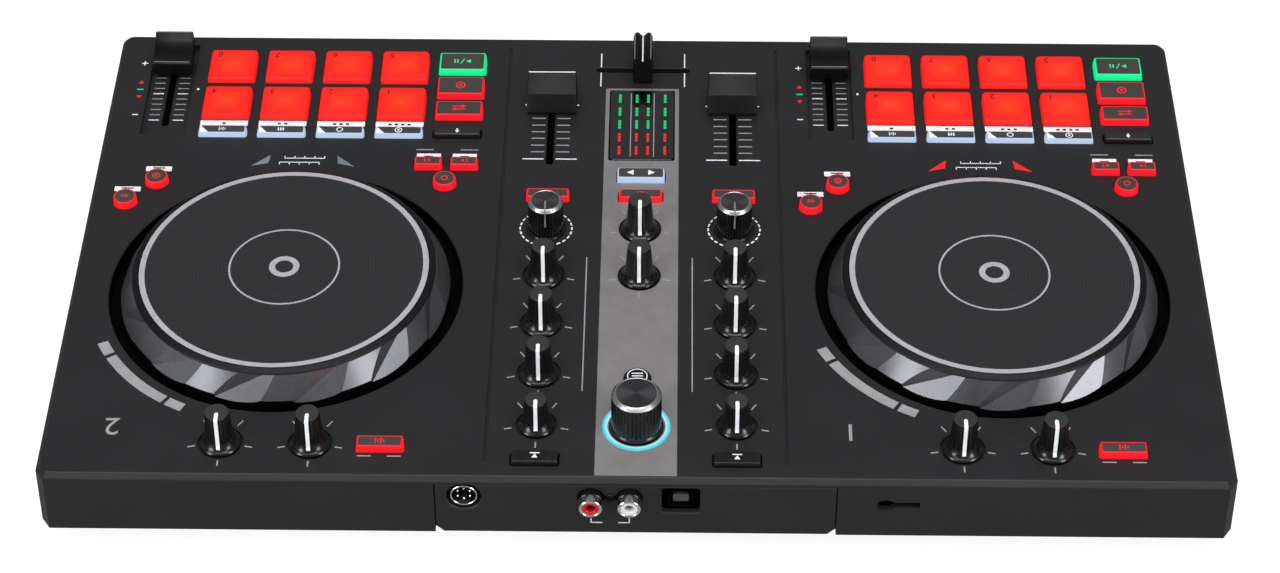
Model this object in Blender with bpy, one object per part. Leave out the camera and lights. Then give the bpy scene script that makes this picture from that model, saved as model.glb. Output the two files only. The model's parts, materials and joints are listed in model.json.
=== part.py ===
"""A two-deck DJ controller with jog wheels, pads, knobs and faders, as separate moving pieces.

Frame: +Z up, the DJ stands at -Y, the sockets face +Y. The origin is the centre of the overall
box, on the surface that the feet stand on. Layout positions are measured from the middle of the
case on the top face of the panel, which is height zero for every sub-part's own mesh.
"""
import bpy
import bmesh
from math import cos, pi, radians, sin
from mathutils import Vector

MM = 0.001

# ---------------------------------------------------------------- driving dimensions
# Case
CASE_W = 405 * MM
CASE_D = 238.8 * MM
WALL_H = 25.7 * MM          # panel face down to the lower edge of the side walls
BELLY_H = 8 * MM            # depth of the sloping belly below the walls
FOOT_H = 5 * MM
WALL_T = 2.5 * MM
PLATE_T = 2.0 * MM
EDGE_BEVEL = 1.9 * MM
SIDE_FLARE = 0.5 * MM       # how far each side wall leans out by its lower edge
CORNER_X = 3.0 * MM
CORNER_Y = 4.4 * MM
BELLY_INSET = 14 * MM
GAP = 0.3 * MM              # clearance between pieces that nearly touch

# Jog wheels
JOG_R = 58.6 * MM
JOG_TOP_R = 54.0 * MM
JOG_H = 10.0 * MM
JOG_RING_GAP = 4.3 * MM
WELL_DEPTH = 6.0 * MM
WELL_FLOOR = 2.0 * MM
AXLE_R = 3.0 * MM
JOG_FACETS = 13

# Knobs
KNOB_R = 7.5 * MM
KNOB_TOP_R = 4.1 * MM
KNOB_H = 14.5 * MM
SMALL_KNOB_R = 6.9 * MM
SMALL_KNOB_TOP_R = 3.3 * MM
SMALL_KNOB_H = 12.3 * MM
FILTER_R = 6.9 * MM
FILTER_H = 13.8 * MM
STEM_R = 3.0 * MM
ENCODER_R = 9.1 * MM
ENCODER_H = 16.2 * MM
ENCODER_TRAVEL = 0.5 * MM

# Keys and pads
PAD = 18.0 * MM
PAD_GAP = 4.1 * MM
PAD_H = 1.9 * MM
KEY_H = 2.4 * MM
LOW_KEY_H = 1.8 * MM
KEY_DRAFT = 0.8 * MM        # how much narrower a key is at its top than at the panel, each side
LIP = 1.0 * MM              # how far a key's rim reaches under the panel
RIM_T = 1.2 * MM
SHIFT_D = 4.8 * MM
SYNC_D = 8.7 * MM
CUE_D = 10.6 * MM
PLAY_D = 10.9 * MM
MODE_D = 4.9 * MM
ROUND_KEY_R = 4.4 * MM
FX_KEY = (16.2 * MM, 5.75 * MM)
LOAD_KEY = (16.2 * MM, 6.0 * MM)
CUE_KEY = (16.0 * MM, 5.4 * MM)
GUIDE_KEY = (17.6 * MM, 6.2 * MM)
IN_KEY = (10.3 * MM, 5.2 * MM)
ASSISTANT_R = 4.5 * MM
WINDOW = (24.0 * MM, 40.4 * MM)
WEB_BRIDGE = 1.5 * MM       # width of the strip that joins the two load keys

# Faders
FADER_TRAVEL = 31.5 * MM
CROSS_TRAVEL = 16.0 * MM    # each way from the middle
SLOT_W = 2.7 * MM
STEM_T = 1.4 * MM
FADER_STEM_D = 5.0 * MM
TEMPO_WELL_W = 16.8 * MM
TEMPO_WELL_D = 54.0 * MM
TEMPO_WELL_DEPTH = 2.0 * MM
TEMPO_CAP_W = 15.0 * MM
TEMPO_CAP_D = 15.5 * MM
TEMPO_CAP_H = 10.5 * MM
LINE_CAP_W = 19.2 * MM
LINE_CAP_D = 12.6 * MM
LINE_CAP_H = 11.8 * MM
CROSS_CAP_W = 7.4 * MM
CROSS_CAP_D = 17.5 * MM
CROSS_CAP_H = 12.3 * MM

# Sockets
RCA_REACH = 5.5 * MM
RCA_PITCH = 13.0 * MM
RCA_R = 4.2 * MM
USB_W = 12.0 * MM
USB_H = 10.8 * MM
DIN_R = 5.6 * MM
DIN_MOUTH_R = 4.5 * MM
USB_MOUTH = (8.45 * MM, 7.8 * MM)
USB_TONGUE = (5.6 * MM, 3.0 * MM)
RCA_BORE_R = 1.6 * MM
SOCKET_DEPTH = 9.0 * MM
JACK_R = 3.6 * MM
JACK_HOLE_R = 1.75 * MM
BOSS_R = 6.0 * MM           # the bushes that hold the jog axles

# ---------------------------------------------------------------- layout, from the case's middle
PANEL_Z = FOOT_H + BELLY_H + WALL_H
CASE_SHIFT_Y = -RCA_REACH / 2
FRONT_EDGE = -CASE_D / 2
REAR_EDGE = CASE_D / 2
WELL_R = JOG_R + JOG_RING_GAP
DECK_X = CASE_W / 2 - 76.6 * MM
JOG_Y = REAR_EDGE - 94.2 * MM
KEY_REACH = WELL_R + 15.4 * MM      # from a jog's axis to the round keys around it
FX_Y = JOG_Y + WELL_R + 14.9 * MM
FX_X = 15.25 * MM                    # each FX knob, left or right of its jog's axis
FX_KEY_X = -39.0 * MM

# The key column, the pads and the tempo track make one block; it shares the deck's spare width.
PAD_PITCH = PAD + PAD_GAP
GROOVE_X = 51.1 * MM
TEMPO_GAP = 5.3 * MM
BLOCK_W = 5 * PAD + 4 * PAD_GAP + TEMPO_GAP + TEMPO_WELL_W
SPARE_W = CASE_W / 2 - GROOVE_X - BLOCK_W
LEFT_SHARE = 0.404
BLOCK_LEFT = GROOVE_X - DECK_X + LEFT_SHARE * SPARE_W
PAD_ROWS = (FRONT_EDGE + 11.5 * MM + PAD / 2, FRONT_EDGE + 11.5 * MM + PAD / 2 + PAD_PITCH)
PAD_REAR = PAD_ROWS[1] + PAD / 2
PAD_COLUMNS = [BLOCK_LEFT + PAD / 2 + column * PAD_PITCH for column in range(1, 5)]
MODE_Y = PAD_REAR + 5.2 * MM + MODE_D / 2
KEY_X = BLOCK_LEFT + PAD / 2
KEY_GAP = 3.8 * MM
PLAY_Y = FRONT_EDGE + 13.1 * MM + PLAY_D / 2
CUE_Y = PLAY_Y + PLAY_D / 2 + KEY_GAP + CUE_D / 2
SYNC_Y = CUE_Y + CUE_D / 2 + KEY_GAP + SYNC_D / 2
SHIFT_Y = MODE_Y
TEMPO_X = BLOCK_LEFT + BLOCK_W - TEMPO_WELL_W / 2
TEMPO_WELL_Y = FRONT_EDGE + 6.7 * MM + TEMPO_WELL_D / 2
TEMPO_Y = TEMPO_WELL_Y - 15.2 * MM

MIXER_X = 34.2 * MM
KNOB_Y = [17.9 * MM + row * (2 * KNOB_R + 10.1 * MM) for row in range(4)]
FILTER_Y = -7.3 * MM
MASTER_Y = KNOB_Y[0]
ENCODER_Y = KNOB_Y[3] + 0.6 * MM
ASSISTANT_Y = ENCODER_Y - ENCODER_R - 14.4 * MM
LOAD_Y = REAR_EDGE - 9.7 * MM
CUE_ROW_Y = FILTER_Y - FILTER_R - 10.8 * MM
GUIDE_Y = CUE_ROW_Y - 11.35 * MM
WINDOW_Y = GUIDE_Y - 9.7 * MM - WINDOW[1] / 2
LINE_Y = -77.7 * MM
CROSS_Y = FRONT_EDGE + 20.3 * MM

RIM_TOP = -PLATE_T - GAP            # top of a key's rim, just under the panel
STEM_END = -PLATE_T - 3.0 * MM      # lower end of every knob and fader stem
BOARD_TOP = -WELL_DEPTH - WELL_FLOOR - 2.4 * MM
BOARD_T = 1.6 * MM
SOCKET_Z = -8.6 * MM                # height of the sockets' middle below the panel
USB_Z = SOCKET_Z - 1.2 * MM
JACK_Z = SOCKET_Z - 5.0 * MM
LOCK = (-88.8 * MM, -11.0 * MM, 14.4 * MM, 2.8 * MM)    # lock slot: middle x, z, width, height
USB_X = -15.3 * MM
DIN_X = 58.0 * MM
RCA_X = 8.6 * MM
JACK_X = -CASE_W / 2 + 32.5 * MM
REAR_PANEL_W = 135.6 * MM
DECKS = {"1": -DECK_X, "2": DECK_X}

# ---------------------------------------------------------------- materials
def material(name, colour, roughness, metallic=0.0):
    """A Principled BSDF for one finish."""
    finish = bpy.data.materials.new(name)
    finish.use_nodes = True
    shader = finish.node_tree.nodes["Principled BSDF"]
    shader.inputs["Base Color"].default_value = (*colour, 1.0)
    shader.inputs["Roughness"].default_value = roughness
    shader.inputs["Metallic"].default_value = metallic
    return finish


def clear_scene():
    for thing in list(bpy.data.objects):
        bpy.data.objects.remove(thing, do_unlink=True)


clear_scene()
CASE_BLACK = material("case_black", (0.030, 0.030, 0.032), 0.45)
KNOB_BLACK = material("knob_black", (0.012, 0.012, 0.013), 0.30)
JOG_GREY = material("jog_grey", (0.060, 0.060, 0.062), 0.35)
KEY_BLACK = material("key_black", (0.020, 0.020, 0.021), 0.45)
KEY_RED = material("key_red", (0.90, 0.020, 0.025), 0.40)
KEY_GREEN = material("key_green", (0.0, 0.80, 0.30), 0.40)
KEY_ICE = material("key_ice", (0.62, 0.78, 0.95), 0.40)
WINDOW_SMOKE = material("window_smoke", (0.015, 0.015, 0.016), 0.08)
BOARD_GREEN = material("board_green", (0.010, 0.110, 0.040), 0.50)
SOCKET_STEEL = material("socket_steel", (0.60, 0.60, 0.62), 0.30, 1.0)
RUBBER = material("foot_rubber", (0.015, 0.015, 0.015), 0.80)


# ---------------------------------------------------------------- outlines and bodies
def rectangle(width, depth, x=0.0, y=0.0):
    """Corner points, counter-clockwise."""
    w, d = width / 2, depth / 2
    return [(x - w, y - d), (x + w, y - d), (x + w, y + d), (x - w, y + d)]


def circle(radius, sides, x=0.0, y=0.0):
    return [(x + radius * cos(2 * pi * i / sides), y + radius * sin(2 * pi * i / sides))
            for i in range(sides)]


def capsule(start, end, radius, sides=8):
    """A strip with round ends from one point to another."""
    along = Vector((end[0] - start[0], end[1] - start[1])).normalized()
    turn = Vector((-along.y, along.x))
    points = []
    for centre, sign in ((end, 1), (start, -1)):
        for i in range(sides + 1):
            angle = -pi / 2 + pi * i / sides
            offset = (along * cos(angle) + turn * sin(angle)) * radius * sign
            points.append((centre[0] + offset.x, centre[1] + offset.y))
    return points


def case_outline(inset, flare=0.0):
    """The case seen from above: rounded front corners, chamfered rear corners."""
    w = CASE_W / 2 + flare - inset
    d = CASE_D / 2 - inset
    cut = 1.0 - min(inset / (2 * CORNER_Y), 0.7)
    r = CORNER_Y * cut
    front = [(w - r + r * sin(a), -d + r - r * cos(a)) for a in (0, pi / 6, pi / 3, pi / 2)]
    rear = [(w, d - CORNER_Y * cut), (w - CORNER_X * cut, d)]
    right = front + rear
    return right + [(-x, y) for x, y in reversed(right)]


def add_stack(bm, sections):
    """One closed body whose outline changes from height to height, bottom first."""
    rings = [[bm.verts.new((x, y, z)) for x, y in outline] for outline, z in sections]
    bm.faces.new(list(reversed(rings[0])))
    for low, high in zip(rings, rings[1:]):
        for i in range(len(low)):
            j = (i + 1) % len(low)
            bm.faces.new((low[i], low[j], high[j], high[i]))
    bm.faces.new(rings[-1])


def add_block(bm, outline, low, high):
    add_stack(bm, [(outline, low), (outline, high)])


def turned(bm, profile, sides, x=0.0, y=0.0):
    """A body of revolution from (radius, height) points that start and end on the axis."""
    chain = [bm.verts.new((x + radius, y, z)) for radius, z in profile]
    edges = [bm.edges.new(pair) for pair in zip(chain, chain[1:])]
    bmesh.ops.spin(bm, geom=chain + edges, cent=(x, y, 0), axis=(0, 0, 1), angle=2 * pi,
                   steps=sides, use_merge=True)
    bmesh.ops.remove_doubles(bm, verts=bm.verts, dist=1e-6)
    bmesh.ops.recalc_face_normals(bm, faces=bm.faces)


def add_profile(bm, points, width, along="X"):
    """A side profile, (run, height) points, given a width across it."""
    w = width / 2
    if along == "X":
        ends = [[bm.verts.new((side, run, z)) for run, z in points] for side in (-w, w)]
    else:
        ends = [[bm.verts.new((run, side, z)) for run, z in points] for side in (-w, w)]
    bm.faces.new(ends[0])
    bm.faces.new(list(reversed(ends[1])))
    for i in range(len(points)):
        j = (i + 1) % len(points)
        bm.faces.new((ends[0][i], ends[1][i], ends[1][j], ends[0][j]))


def node(name, bm, finish, place=(0, 0, 0), parent=None):
    """Make the object for one sub-part, its origin at place under its parent."""
    bmesh.ops.recalc_face_normals(bm, faces=bm.faces)
    mesh = bpy.data.meshes.new(name)
    bm.to_mesh(mesh)
    bm.free()
    thing = bpy.data.objects.new(name, mesh)
    bpy.context.collection.objects.link(thing)
    thing.location = place
    thing.parent = parent
    mesh.materials.append(finish)
    mesh.shade_smooth()
    mesh.set_sharp_from_angle(angle=radians(30))
    return thing


def boolean(thing, bm, operation):
    """Cut a mesh from a sub-part, or join one to it, with a hidden helper."""
    helper = node(f"{thing.name}_{operation.lower()}", bm, CASE_BLACK, thing.location, thing.parent)
    helper.hide_render = True
    helper.display_type = "WIRE"
    modifier = thing.modifiers.new(operation.title(), "BOOLEAN")
    modifier.operation = operation
    modifier.solver = "EXACT"
    modifier.object = helper


def empty(name, place, parent=None):
    holder = bpy.data.objects.new(name, None)
    bpy.context.collection.objects.link(holder)
    holder.location = place
    holder.parent = parent
    return holder


PANEL = empty("panel_middle", (0, CASE_SHIFT_Y, PANEL_Z))
DECK_ORIGIN = {side: empty(f"deck_{side}", (x, 0, 0), PANEL) for side, x in DECKS.items()}
panel_cuts = bmesh.new()
track_cuts = bmesh.new()            # slots and bores inside a recess that panel_cuts makes
CUT_LOW = -PLATE_T - 4.0 * MM
CUT_HIGH = 2.0 * MM


def open_panel(outline, x=0.0, y=0.0, low=CUT_LOW, cuts=panel_cuts):
    """Open the panel along an outline around (x, y)."""
    add_block(cuts, [(x + u, y + v) for u, v in outline], low, CUT_HIGH)


# ---------------------------------------------------------------- keys
def add_key(bm, outline_at, height, base=RIM_TOP - RIM_T):
    """A key: a rim under the panel, a straight neck through it, and a drafted cap above it.

    outline_at(grow) gives the key's outline grown by that much on each side."""
    add_stack(bm, [(outline_at(LIP), base), (outline_at(LIP), RIM_TOP),
                   (outline_at(0), RIM_TOP), (outline_at(0), 0.2 * MM),
                   (outline_at(-KEY_DRAFT), height)])


def rectangular_key(width, depth, x=0.0, y=0.0):
    return lambda grow: rectangle(width + 2 * grow, depth + 2 * grow, x, y)


def round_key(radius, x=0.0, y=0.0):
    return lambda grow: circle(radius + grow, 14, x, y)


def single_key(name, outline_at, height, finish, place, parent, x):
    """One key with its own rim and its opening; x is the parent's offset on the panel."""
    bm = bmesh.new()
    add_key(bm, outline_at, height)
    open_panel(outline_at(GAP), place[0] + x, place[1])
    return node(name, bm, finish, place, parent)


def keypad(name, web, keys, finish, place, parent, x):
    """Several keys on one silicone web. Each key is (outline_at, height)."""
    bm = bmesh.new()
    add_block(bm, web, RIM_TOP - RIM_T, RIM_TOP)
    pad = node(name, bm, finish, place, parent)
    raised = bmesh.new()
    for outline_at, height in keys:
        add_stack(raised, [(outline_at(0), RIM_TOP - RIM_T / 2), (outline_at(0), 0.2 * MM),
                           (outline_at(-KEY_DRAFT), height)])
        open_panel(outline_at(GAP), place[0] + x, place[1])
    boolean(pad, raised, "UNION")
    return pad


# ---------------------------------------------------------------- deck pieces
def jog_wheel(side):
    """The platter with its bevelled grip, on an axle that turns in a bush of the lower shell."""
    floor = -WELL_DEPTH + 0.5 * MM
    axle_end = BOARD_TOP - BOARD_T - 4.0 * MM
    profile = [(0, axle_end), (AXLE_R, axle_end), (AXLE_R, floor), (JOG_R - 3 * MM, floor),
               (JOG_R, floor + 1.5 * MM), (JOG_R, 0.5 * MM), (JOG_TOP_R, JOG_H - 1.4 * MM),
               (JOG_TOP_R - 2 * MM, JOG_H), (0, JOG_H)]
    bm = bmesh.new()
    turned(bm, profile, 3 * JOG_FACETS)
    node(f"jog_wheel_{side}", bm, JOG_GREY, (0, JOG_Y, 0), DECK_ORIGIN[side])


def transport_keys(side, x):
    for name, y, depth, height, finish in (
            ("shift", SHIFT_Y, SHIFT_D, LOW_KEY_H, KEY_BLACK),
            ("sync", SYNC_Y, SYNC_D, KEY_H, KEY_RED),
            ("cue", CUE_Y, CUE_D, KEY_H, KEY_RED),
            ("play", PLAY_Y, PLAY_D, KEY_H, KEY_GREEN)):
        single_key(f"{name}_key_{side}", rectangular_key(PAD, depth), height, finish,
                   (KEY_X, y, 0), DECK_ORIGIN[side], x)


def pad_mat(side, x):
    """Eight performance pads moulded on one silicone mat."""
    rows = [y - PAD_ROWS[0] for y in PAD_ROWS]
    columns = [u - PAD_COLUMNS[0] for u in PAD_COLUMNS]
    web = rectangle(columns[3] + PAD + 2 * LIP, rows[1] + PAD + 2 * LIP, columns[3] / 2, rows[1] / 2)
    keys = [(rectangular_key(PAD, PAD, u, v), PAD_H) for u in columns for v in rows]
    keypad(f"pad_mat_{side}", web, keys, KEY_RED, (PAD_COLUMNS[0], PAD_ROWS[0], 0),
           DECK_ORIGIN[side], x)


def mode_keys(side, x):
    """Four mode keys on one strip, in line with the pads."""
    columns = [u - PAD_COLUMNS[0] for u in PAD_COLUMNS]
    web = rectangle(columns[3] + PAD + 2 * LIP, MODE_D + 2 * LIP, columns[3] / 2, 0)
    keys = [(rectangular_key(PAD, MODE_D, u, 0), LOW_KEY_H) for u in columns]
    keypad(f"mode_keys_{side}", web, keys, KEY_ICE, (PAD_COLUMNS[0], MODE_Y, 0),
           DECK_ORIGIN[side], x)


def loop_keys(side, x):
    """A round key above two oblong ones, to the left of the jog wheel."""
    angle = radians(227.1)
    place = (KEY_REACH * cos(angle), JOG_Y + KEY_REACH * sin(angle), 0)
    half_pitch, drop = 6.7 * MM, 10.0 * MM
    width, depth = IN_KEY
    web = [(-half_pitch - width / 2 - LIP, -drop - depth / 2 - LIP),
           (half_pitch + width / 2 + LIP, -drop - depth / 2 - LIP),
           (half_pitch + width / 2 + LIP, -drop + depth / 2 + LIP),
           (ROUND_KEY_R + LIP, -drop + depth / 2 + LIP), (ROUND_KEY_R + LIP, ROUND_KEY_R + LIP),
           (-ROUND_KEY_R - LIP, ROUND_KEY_R + LIP), (-ROUND_KEY_R - LIP, -drop + depth / 2 + LIP),
           (-half_pitch - width / 2 - LIP, -drop + depth / 2 + LIP)]
    keys = [(rectangular_key(width, depth, sign * half_pitch, -drop), KEY_H) for sign in (-1, 1)]
    keys.append((round_key(ROUND_KEY_R), KEY_H))
    keypad(f"loop_keys_{side}", web, keys, KEY_RED, place, DECK_ORIGIN[side], x)


def slip_keys(side, x):
    """Two round keys on a slanting strip, to the right of the jog wheel."""
    first, second = radians(312.8), radians(324.1)
    place = (KEY_REACH * cos(first), JOG_Y + KEY_REACH * sin(first), 0)
    other = (KEY_REACH * (cos(second) - cos(first)), KEY_REACH * (sin(second) - sin(first)))
    web = capsule((0, 0), other, ROUND_KEY_R + LIP)
    keys = [(round_key(ROUND_KEY_R), KEY_H), (round_key(ROUND_KEY_R, *other), KEY_H)]
    keypad(f"slip_keys_{side}", web, keys, KEY_RED, place, DECK_ORIGIN[side], x)


def fx_key(side, x):
    single_key(f"fx_key_{side}", rectangular_key(*FX_KEY), KEY_H, KEY_RED,
               (FX_KEY_X, FX_Y + 1.0 * MM, 0), DECK_ORIGIN[side], x)


def knob(name, radius, top_radius, height, place, parent, x):
    """A skirted knob that narrows to its top, on a stem down to its potentiometer."""
    bm = bmesh.new()
    neck = radius - 1.7 * MM
    turned(bm, [(0, STEM_END), (STEM_R, STEM_END), (STEM_R, 0.5 * MM), (radius, 0.5 * MM),
                (radius, 1.9 * MM), (neck, 3.2 * MM), (top_radius, height), (0, height)], 12)
    open_panel(circle(STEM_R + GAP, 12), place[0] + x, place[1])
    node(name, bm, KNOB_BLACK, place, parent)


def fx_knobs(side, x):
    for place, offset in (("left", -FX_X), ("right", FX_X)):
        knob(f"fx_{place}_knob_{side}", KNOB_R, KNOB_TOP_R, KNOB_H, (offset, FX_Y, 0),
             DECK_ORIGIN[side], x)


def fader_cap(name, width, depth, height, foot, stem, along, finish, place, parent):
    """A grip with sloping flanks and a narrow ridge, on a flat stem through its slot."""
    half, ridge = depth / 2, 1.4 * MM
    shoulder = foot + 1.6 * MM
    waist = foot + (height - foot) * 0.45
    points = [(-stem / 2, STEM_END), (stem / 2, STEM_END), (stem / 2, foot), (half, foot),
              (half, shoulder), (half * 0.55, waist), (ridge, height), (-ridge, height),
              (-half * 0.55, waist), (-half, shoulder), (-half, foot), (-stem / 2, foot)]
    bm = bmesh.new()
    add_profile(bm, points, width, along)
    cap = node(name, bm, finish, place, parent)
    waste = bmesh.new()
    for sign in (-1, 1):
        reach = width
        middle = sign * (STEM_T / 2 + reach / 2)
        if along == "X":
            outline = rectangle(reach, 2 * depth, middle, 0)
        else:
            outline = rectangle(2 * depth, reach, 0, middle)
        add_block(waste, outline, STEM_END - 1 * MM, foot)
    boolean(cap, waste, "DIFFERENCE")
    return cap


def tempo_fader(side, x):
    """The tempo grip runs in a sunk track; it rests at its front end."""
    foot = -TEMPO_WELL_DEPTH + 0.5 * MM
    fader_cap(f"tempo_fader_{side}", TEMPO_CAP_W, TEMPO_CAP_D, TEMPO_CAP_H, foot, FADER_STEM_D,
              "X", KNOB_BLACK, (TEMPO_X, TEMPO_Y, 0), DECK_ORIGIN[side])
    open_panel(rectangle(TEMPO_WELL_W, TEMPO_WELL_D), TEMPO_X + x, TEMPO_WELL_Y, -TEMPO_WELL_DEPTH)
    slot_length = FADER_TRAVEL + FADER_STEM_D + 2 * MM
    open_panel(rectangle(SLOT_W, slot_length), TEMPO_X + x, TEMPO_Y + FADER_TRAVEL / 2,
               cuts=track_cuts)


# ---------------------------------------------------------------- mixer pieces
def mixer_knobs():
    for side, sign in (("1", -1), ("2", 1)):
        for row, name in ((0, "low"), (1, "mid"), (2, "high")):
            knob(f"{name}_knob_{side}", KNOB_R, KNOB_TOP_R, KNOB_H,
                 (sign * MIXER_X, KNOB_Y[row], 0), PANEL, 0)
        knob(f"gain_knob_{side}", SMALL_KNOB_R, SMALL_KNOB_TOP_R, SMALL_KNOB_H,
             (sign * MIXER_X, KNOB_Y[3], 0), PANEL, 0)
        filter_knob(side, sign)
    knob("master_knob", KNOB_R, KNOB_TOP_R, KNOB_H, (0, MASTER_Y, 0), PANEL, 0)
    knob("headphones_knob", KNOB_R, KNOB_TOP_R, KNOB_H, (0, FILTER_Y, 0), PANEL, 0)


def filter_knob(side, sign):
    """A straight-sided knob with a chamfered rim."""
    bm = bmesh.new()
    turned(bm, [(0, STEM_END), (STEM_R, STEM_END), (STEM_R, 0.5 * MM), (FILTER_R, 0.5 * MM),
                (FILTER_R, FILTER_H - 1.4 * MM), (FILTER_R - 1.4 * MM, FILTER_H), (0, FILTER_H)], 14)
    open_panel(circle(STEM_R + GAP, 12), sign * MIXER_X, FILTER_Y)
    node(f"filter_knob_{side}", bm, KNOB_BLACK, (sign * MIXER_X, FILTER_Y, 0), PANEL)


def browse_encoder():
    """A push shaft, and the knob that turns on it without limit."""
    shaft = bmesh.new()
    shaft_top = ENCODER_H / 2
    turned(shaft, [(0, STEM_END), (STEM_R, STEM_END), (STEM_R, shaft_top), (0, shaft_top)], 12)
    node("encoder_shaft", shaft, SOCKET_STEEL, (0, ENCODER_Y, 0), PANEL)
    grip = bmesh.new()
    bore = STEM_R + GAP
    foot = ENCODER_TRAVEL + GAP
    turned(grip, [(0, shaft_top + GAP), (bore, shaft_top + GAP), (bore, foot), (ENCODER_R, foot),
                  (ENCODER_R, ENCODER_H - 1.8 * MM), (ENCODER_R - 2.1 * MM, ENCODER_H),
                  (0, ENCODER_H)], 18)
    node("encoder_knob", grip, KNOB_BLACK, (0, ENCODER_Y, 0), PANEL)
    open_panel(circle(STEM_R + GAP, 12), 0, ENCODER_Y)


def load_keys():
    """Two load keys joined by a narrow bridge that passes in front of the sockets."""
    width, depth = LOAD_KEY
    outer, inner = MIXER_X + width / 2 + LIP, MIXER_X - width / 2 - LIP
    low, high = -depth / 2 - LIP, depth / 2 + LIP
    web = [(-outer, low), (outer, low), (outer, high), (inner, high), (inner, low + WEB_BRIDGE),
           (-inner, low + WEB_BRIDGE), (-inner, high), (-outer, high)]
    keys = [(rectangular_key(width, depth, sign * MIXER_X, 0), 1.7 * MM) for sign in (-1, 1)]
    keypad("load_keys", web, keys, KEY_BLACK, (0, LOAD_Y, 0), PANEL, 0)


def cue_row():
    """Three headphone cue keys on one strip."""
    width, depth = CUE_KEY
    web = rectangle(2 * MIXER_X + width + 2 * LIP, depth + 2 * LIP)
    keys = [(rectangular_key(width, depth, x, 0), 2.0 * MM) for x in (-MIXER_X, 0, MIXER_X)]
    keypad("headphone_cue_keys", web, keys, KEY_RED, (0, CUE_ROW_Y, 0), PANEL, 0)


def small_mixer_keys():
    single_key("assistant_key", round_key(ASSISTANT_R), 1.1 * MM, KEY_BLACK, (0, ASSISTANT_Y, 0),
               PANEL, 0)
    single_key("guide_key", rectangular_key(*GUIDE_KEY), 2.2 * MM, KEY_ICE,
               (0, GUIDE_Y, 0), PANEL, 0)


def meter_window():
    """The smoked window over the level meters, held by a rim under the panel."""
    bm = bmesh.new()
    outline_at = rectangular_key(*WINDOW)
    add_stack(bm, [(outline_at(LIP), RIM_TOP - RIM_T), (outline_at(LIP), RIM_TOP),
                   (outline_at(0), RIM_TOP), (outline_at(0), 0.2 * MM)])
    open_panel(outline_at(GAP), 0, WINDOW_Y)
    node("meter_window", bm, WINDOW_SMOKE, (0, WINDOW_Y, 0), PANEL)


def mixer_faders():
    for side, sign in (("1", -1), ("2", 1)):
        fader_cap(f"line_fader_{side}", LINE_CAP_W, LINE_CAP_D, LINE_CAP_H, 0.6 * MM, FADER_STEM_D,
                  "X", KNOB_BLACK, (sign * MIXER_X, LINE_Y, 0), PANEL)
        open_panel(rectangle(SLOT_W, FADER_TRAVEL + FADER_STEM_D + 1.2 * MM), sign * MIXER_X,
                   LINE_Y + FADER_TRAVEL / 2)
    fader_cap("crossfader", CROSS_CAP_D, CROSS_CAP_W, CROSS_CAP_H, 0.6 * MM, 2.4 * MM, "Y",
              KNOB_BLACK, (0, CROSS_Y, 0), PANEL)
    open_panel(rectangle(2 * CROSS_TRAVEL + 2.4 * MM + 1.6 * MM, SLOT_W), 0, CROSS_Y)


# ---------------------------------------------------------------- case
def top_shell():
    """The panel and its side walls in one moulding, with jog wells and fader tracks."""
    bm = bmesh.new()
    add_stack(bm, [(case_outline(0, SIDE_FLARE), -WALL_H), (case_outline(0), -EDGE_BEVEL),
                   (case_outline(EDGE_BEVEL), 0)])
    shell = node("top_shell", bm, CASE_BLACK, (0, 0, 0), PANEL)
    inside = bmesh.new()
    add_block(inside, case_outline(WALL_T), -WALL_H - 1 * MM, -PLATE_T)
    boolean(shell, inside, "DIFFERENCE")
    cups = bmesh.new()
    for x in DECKS.values():
        add_block(cups, circle(WELL_R + WELL_FLOOR, 36, x, JOG_Y), -WELL_DEPTH - WELL_FLOOR,
                  -PLATE_T / 2)
        add_block(cups, rectangle(TEMPO_WELL_W + 3 * MM, TEMPO_WELL_D + 3 * MM, TEMPO_X + x,
                                  TEMPO_WELL_Y), -TEMPO_WELL_DEPTH - 2 * MM, -PLATE_T / 2)
    boolean(shell, cups, "UNION")
    for x in DECKS.values():
        open_panel(circle(WELL_R, 36), x, JOG_Y, -WELL_DEPTH)
        open_panel(circle(AXLE_R + 2 * GAP, 12), x, JOG_Y, -WELL_DEPTH - WELL_FLOOR - 1 * MM,
                   track_cuts)
    groove_length = CASE_D - 15.3 * MM
    for sign in (-1, 1):
        open_panel(rectangle(1.0 * MM, groove_length), sign * GROOVE_X, -0.45 * MM, -0.6 * MM)
    add_block(panel_cuts, rectangle(REAR_PANEL_W + 2 * GAP, 4 * WALL_T, 0, REAR_EDGE),
              -WALL_H - 1 * MM, -PLATE_T - 2 * GAP)
    lock_x, lock_z, lock_w, lock_h = LOCK
    add_block(panel_cuts, rectangle(lock_w, 4 * WALL_T, lock_x, REAR_EDGE),
              lock_z - lock_h / 2, lock_z + lock_h / 2)
    add_block(panel_cuts, rectangle(2 * JACK_R + 2 * GAP, 4 * WALL_T, JACK_X, FRONT_EDGE),
              JACK_Z - JACK_R - GAP, JACK_Z + JACK_R + GAP)
    boolean(shell, panel_cuts, "DIFFERENCE")
    boolean(shell, track_cuts, "DIFFERENCE")


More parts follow.
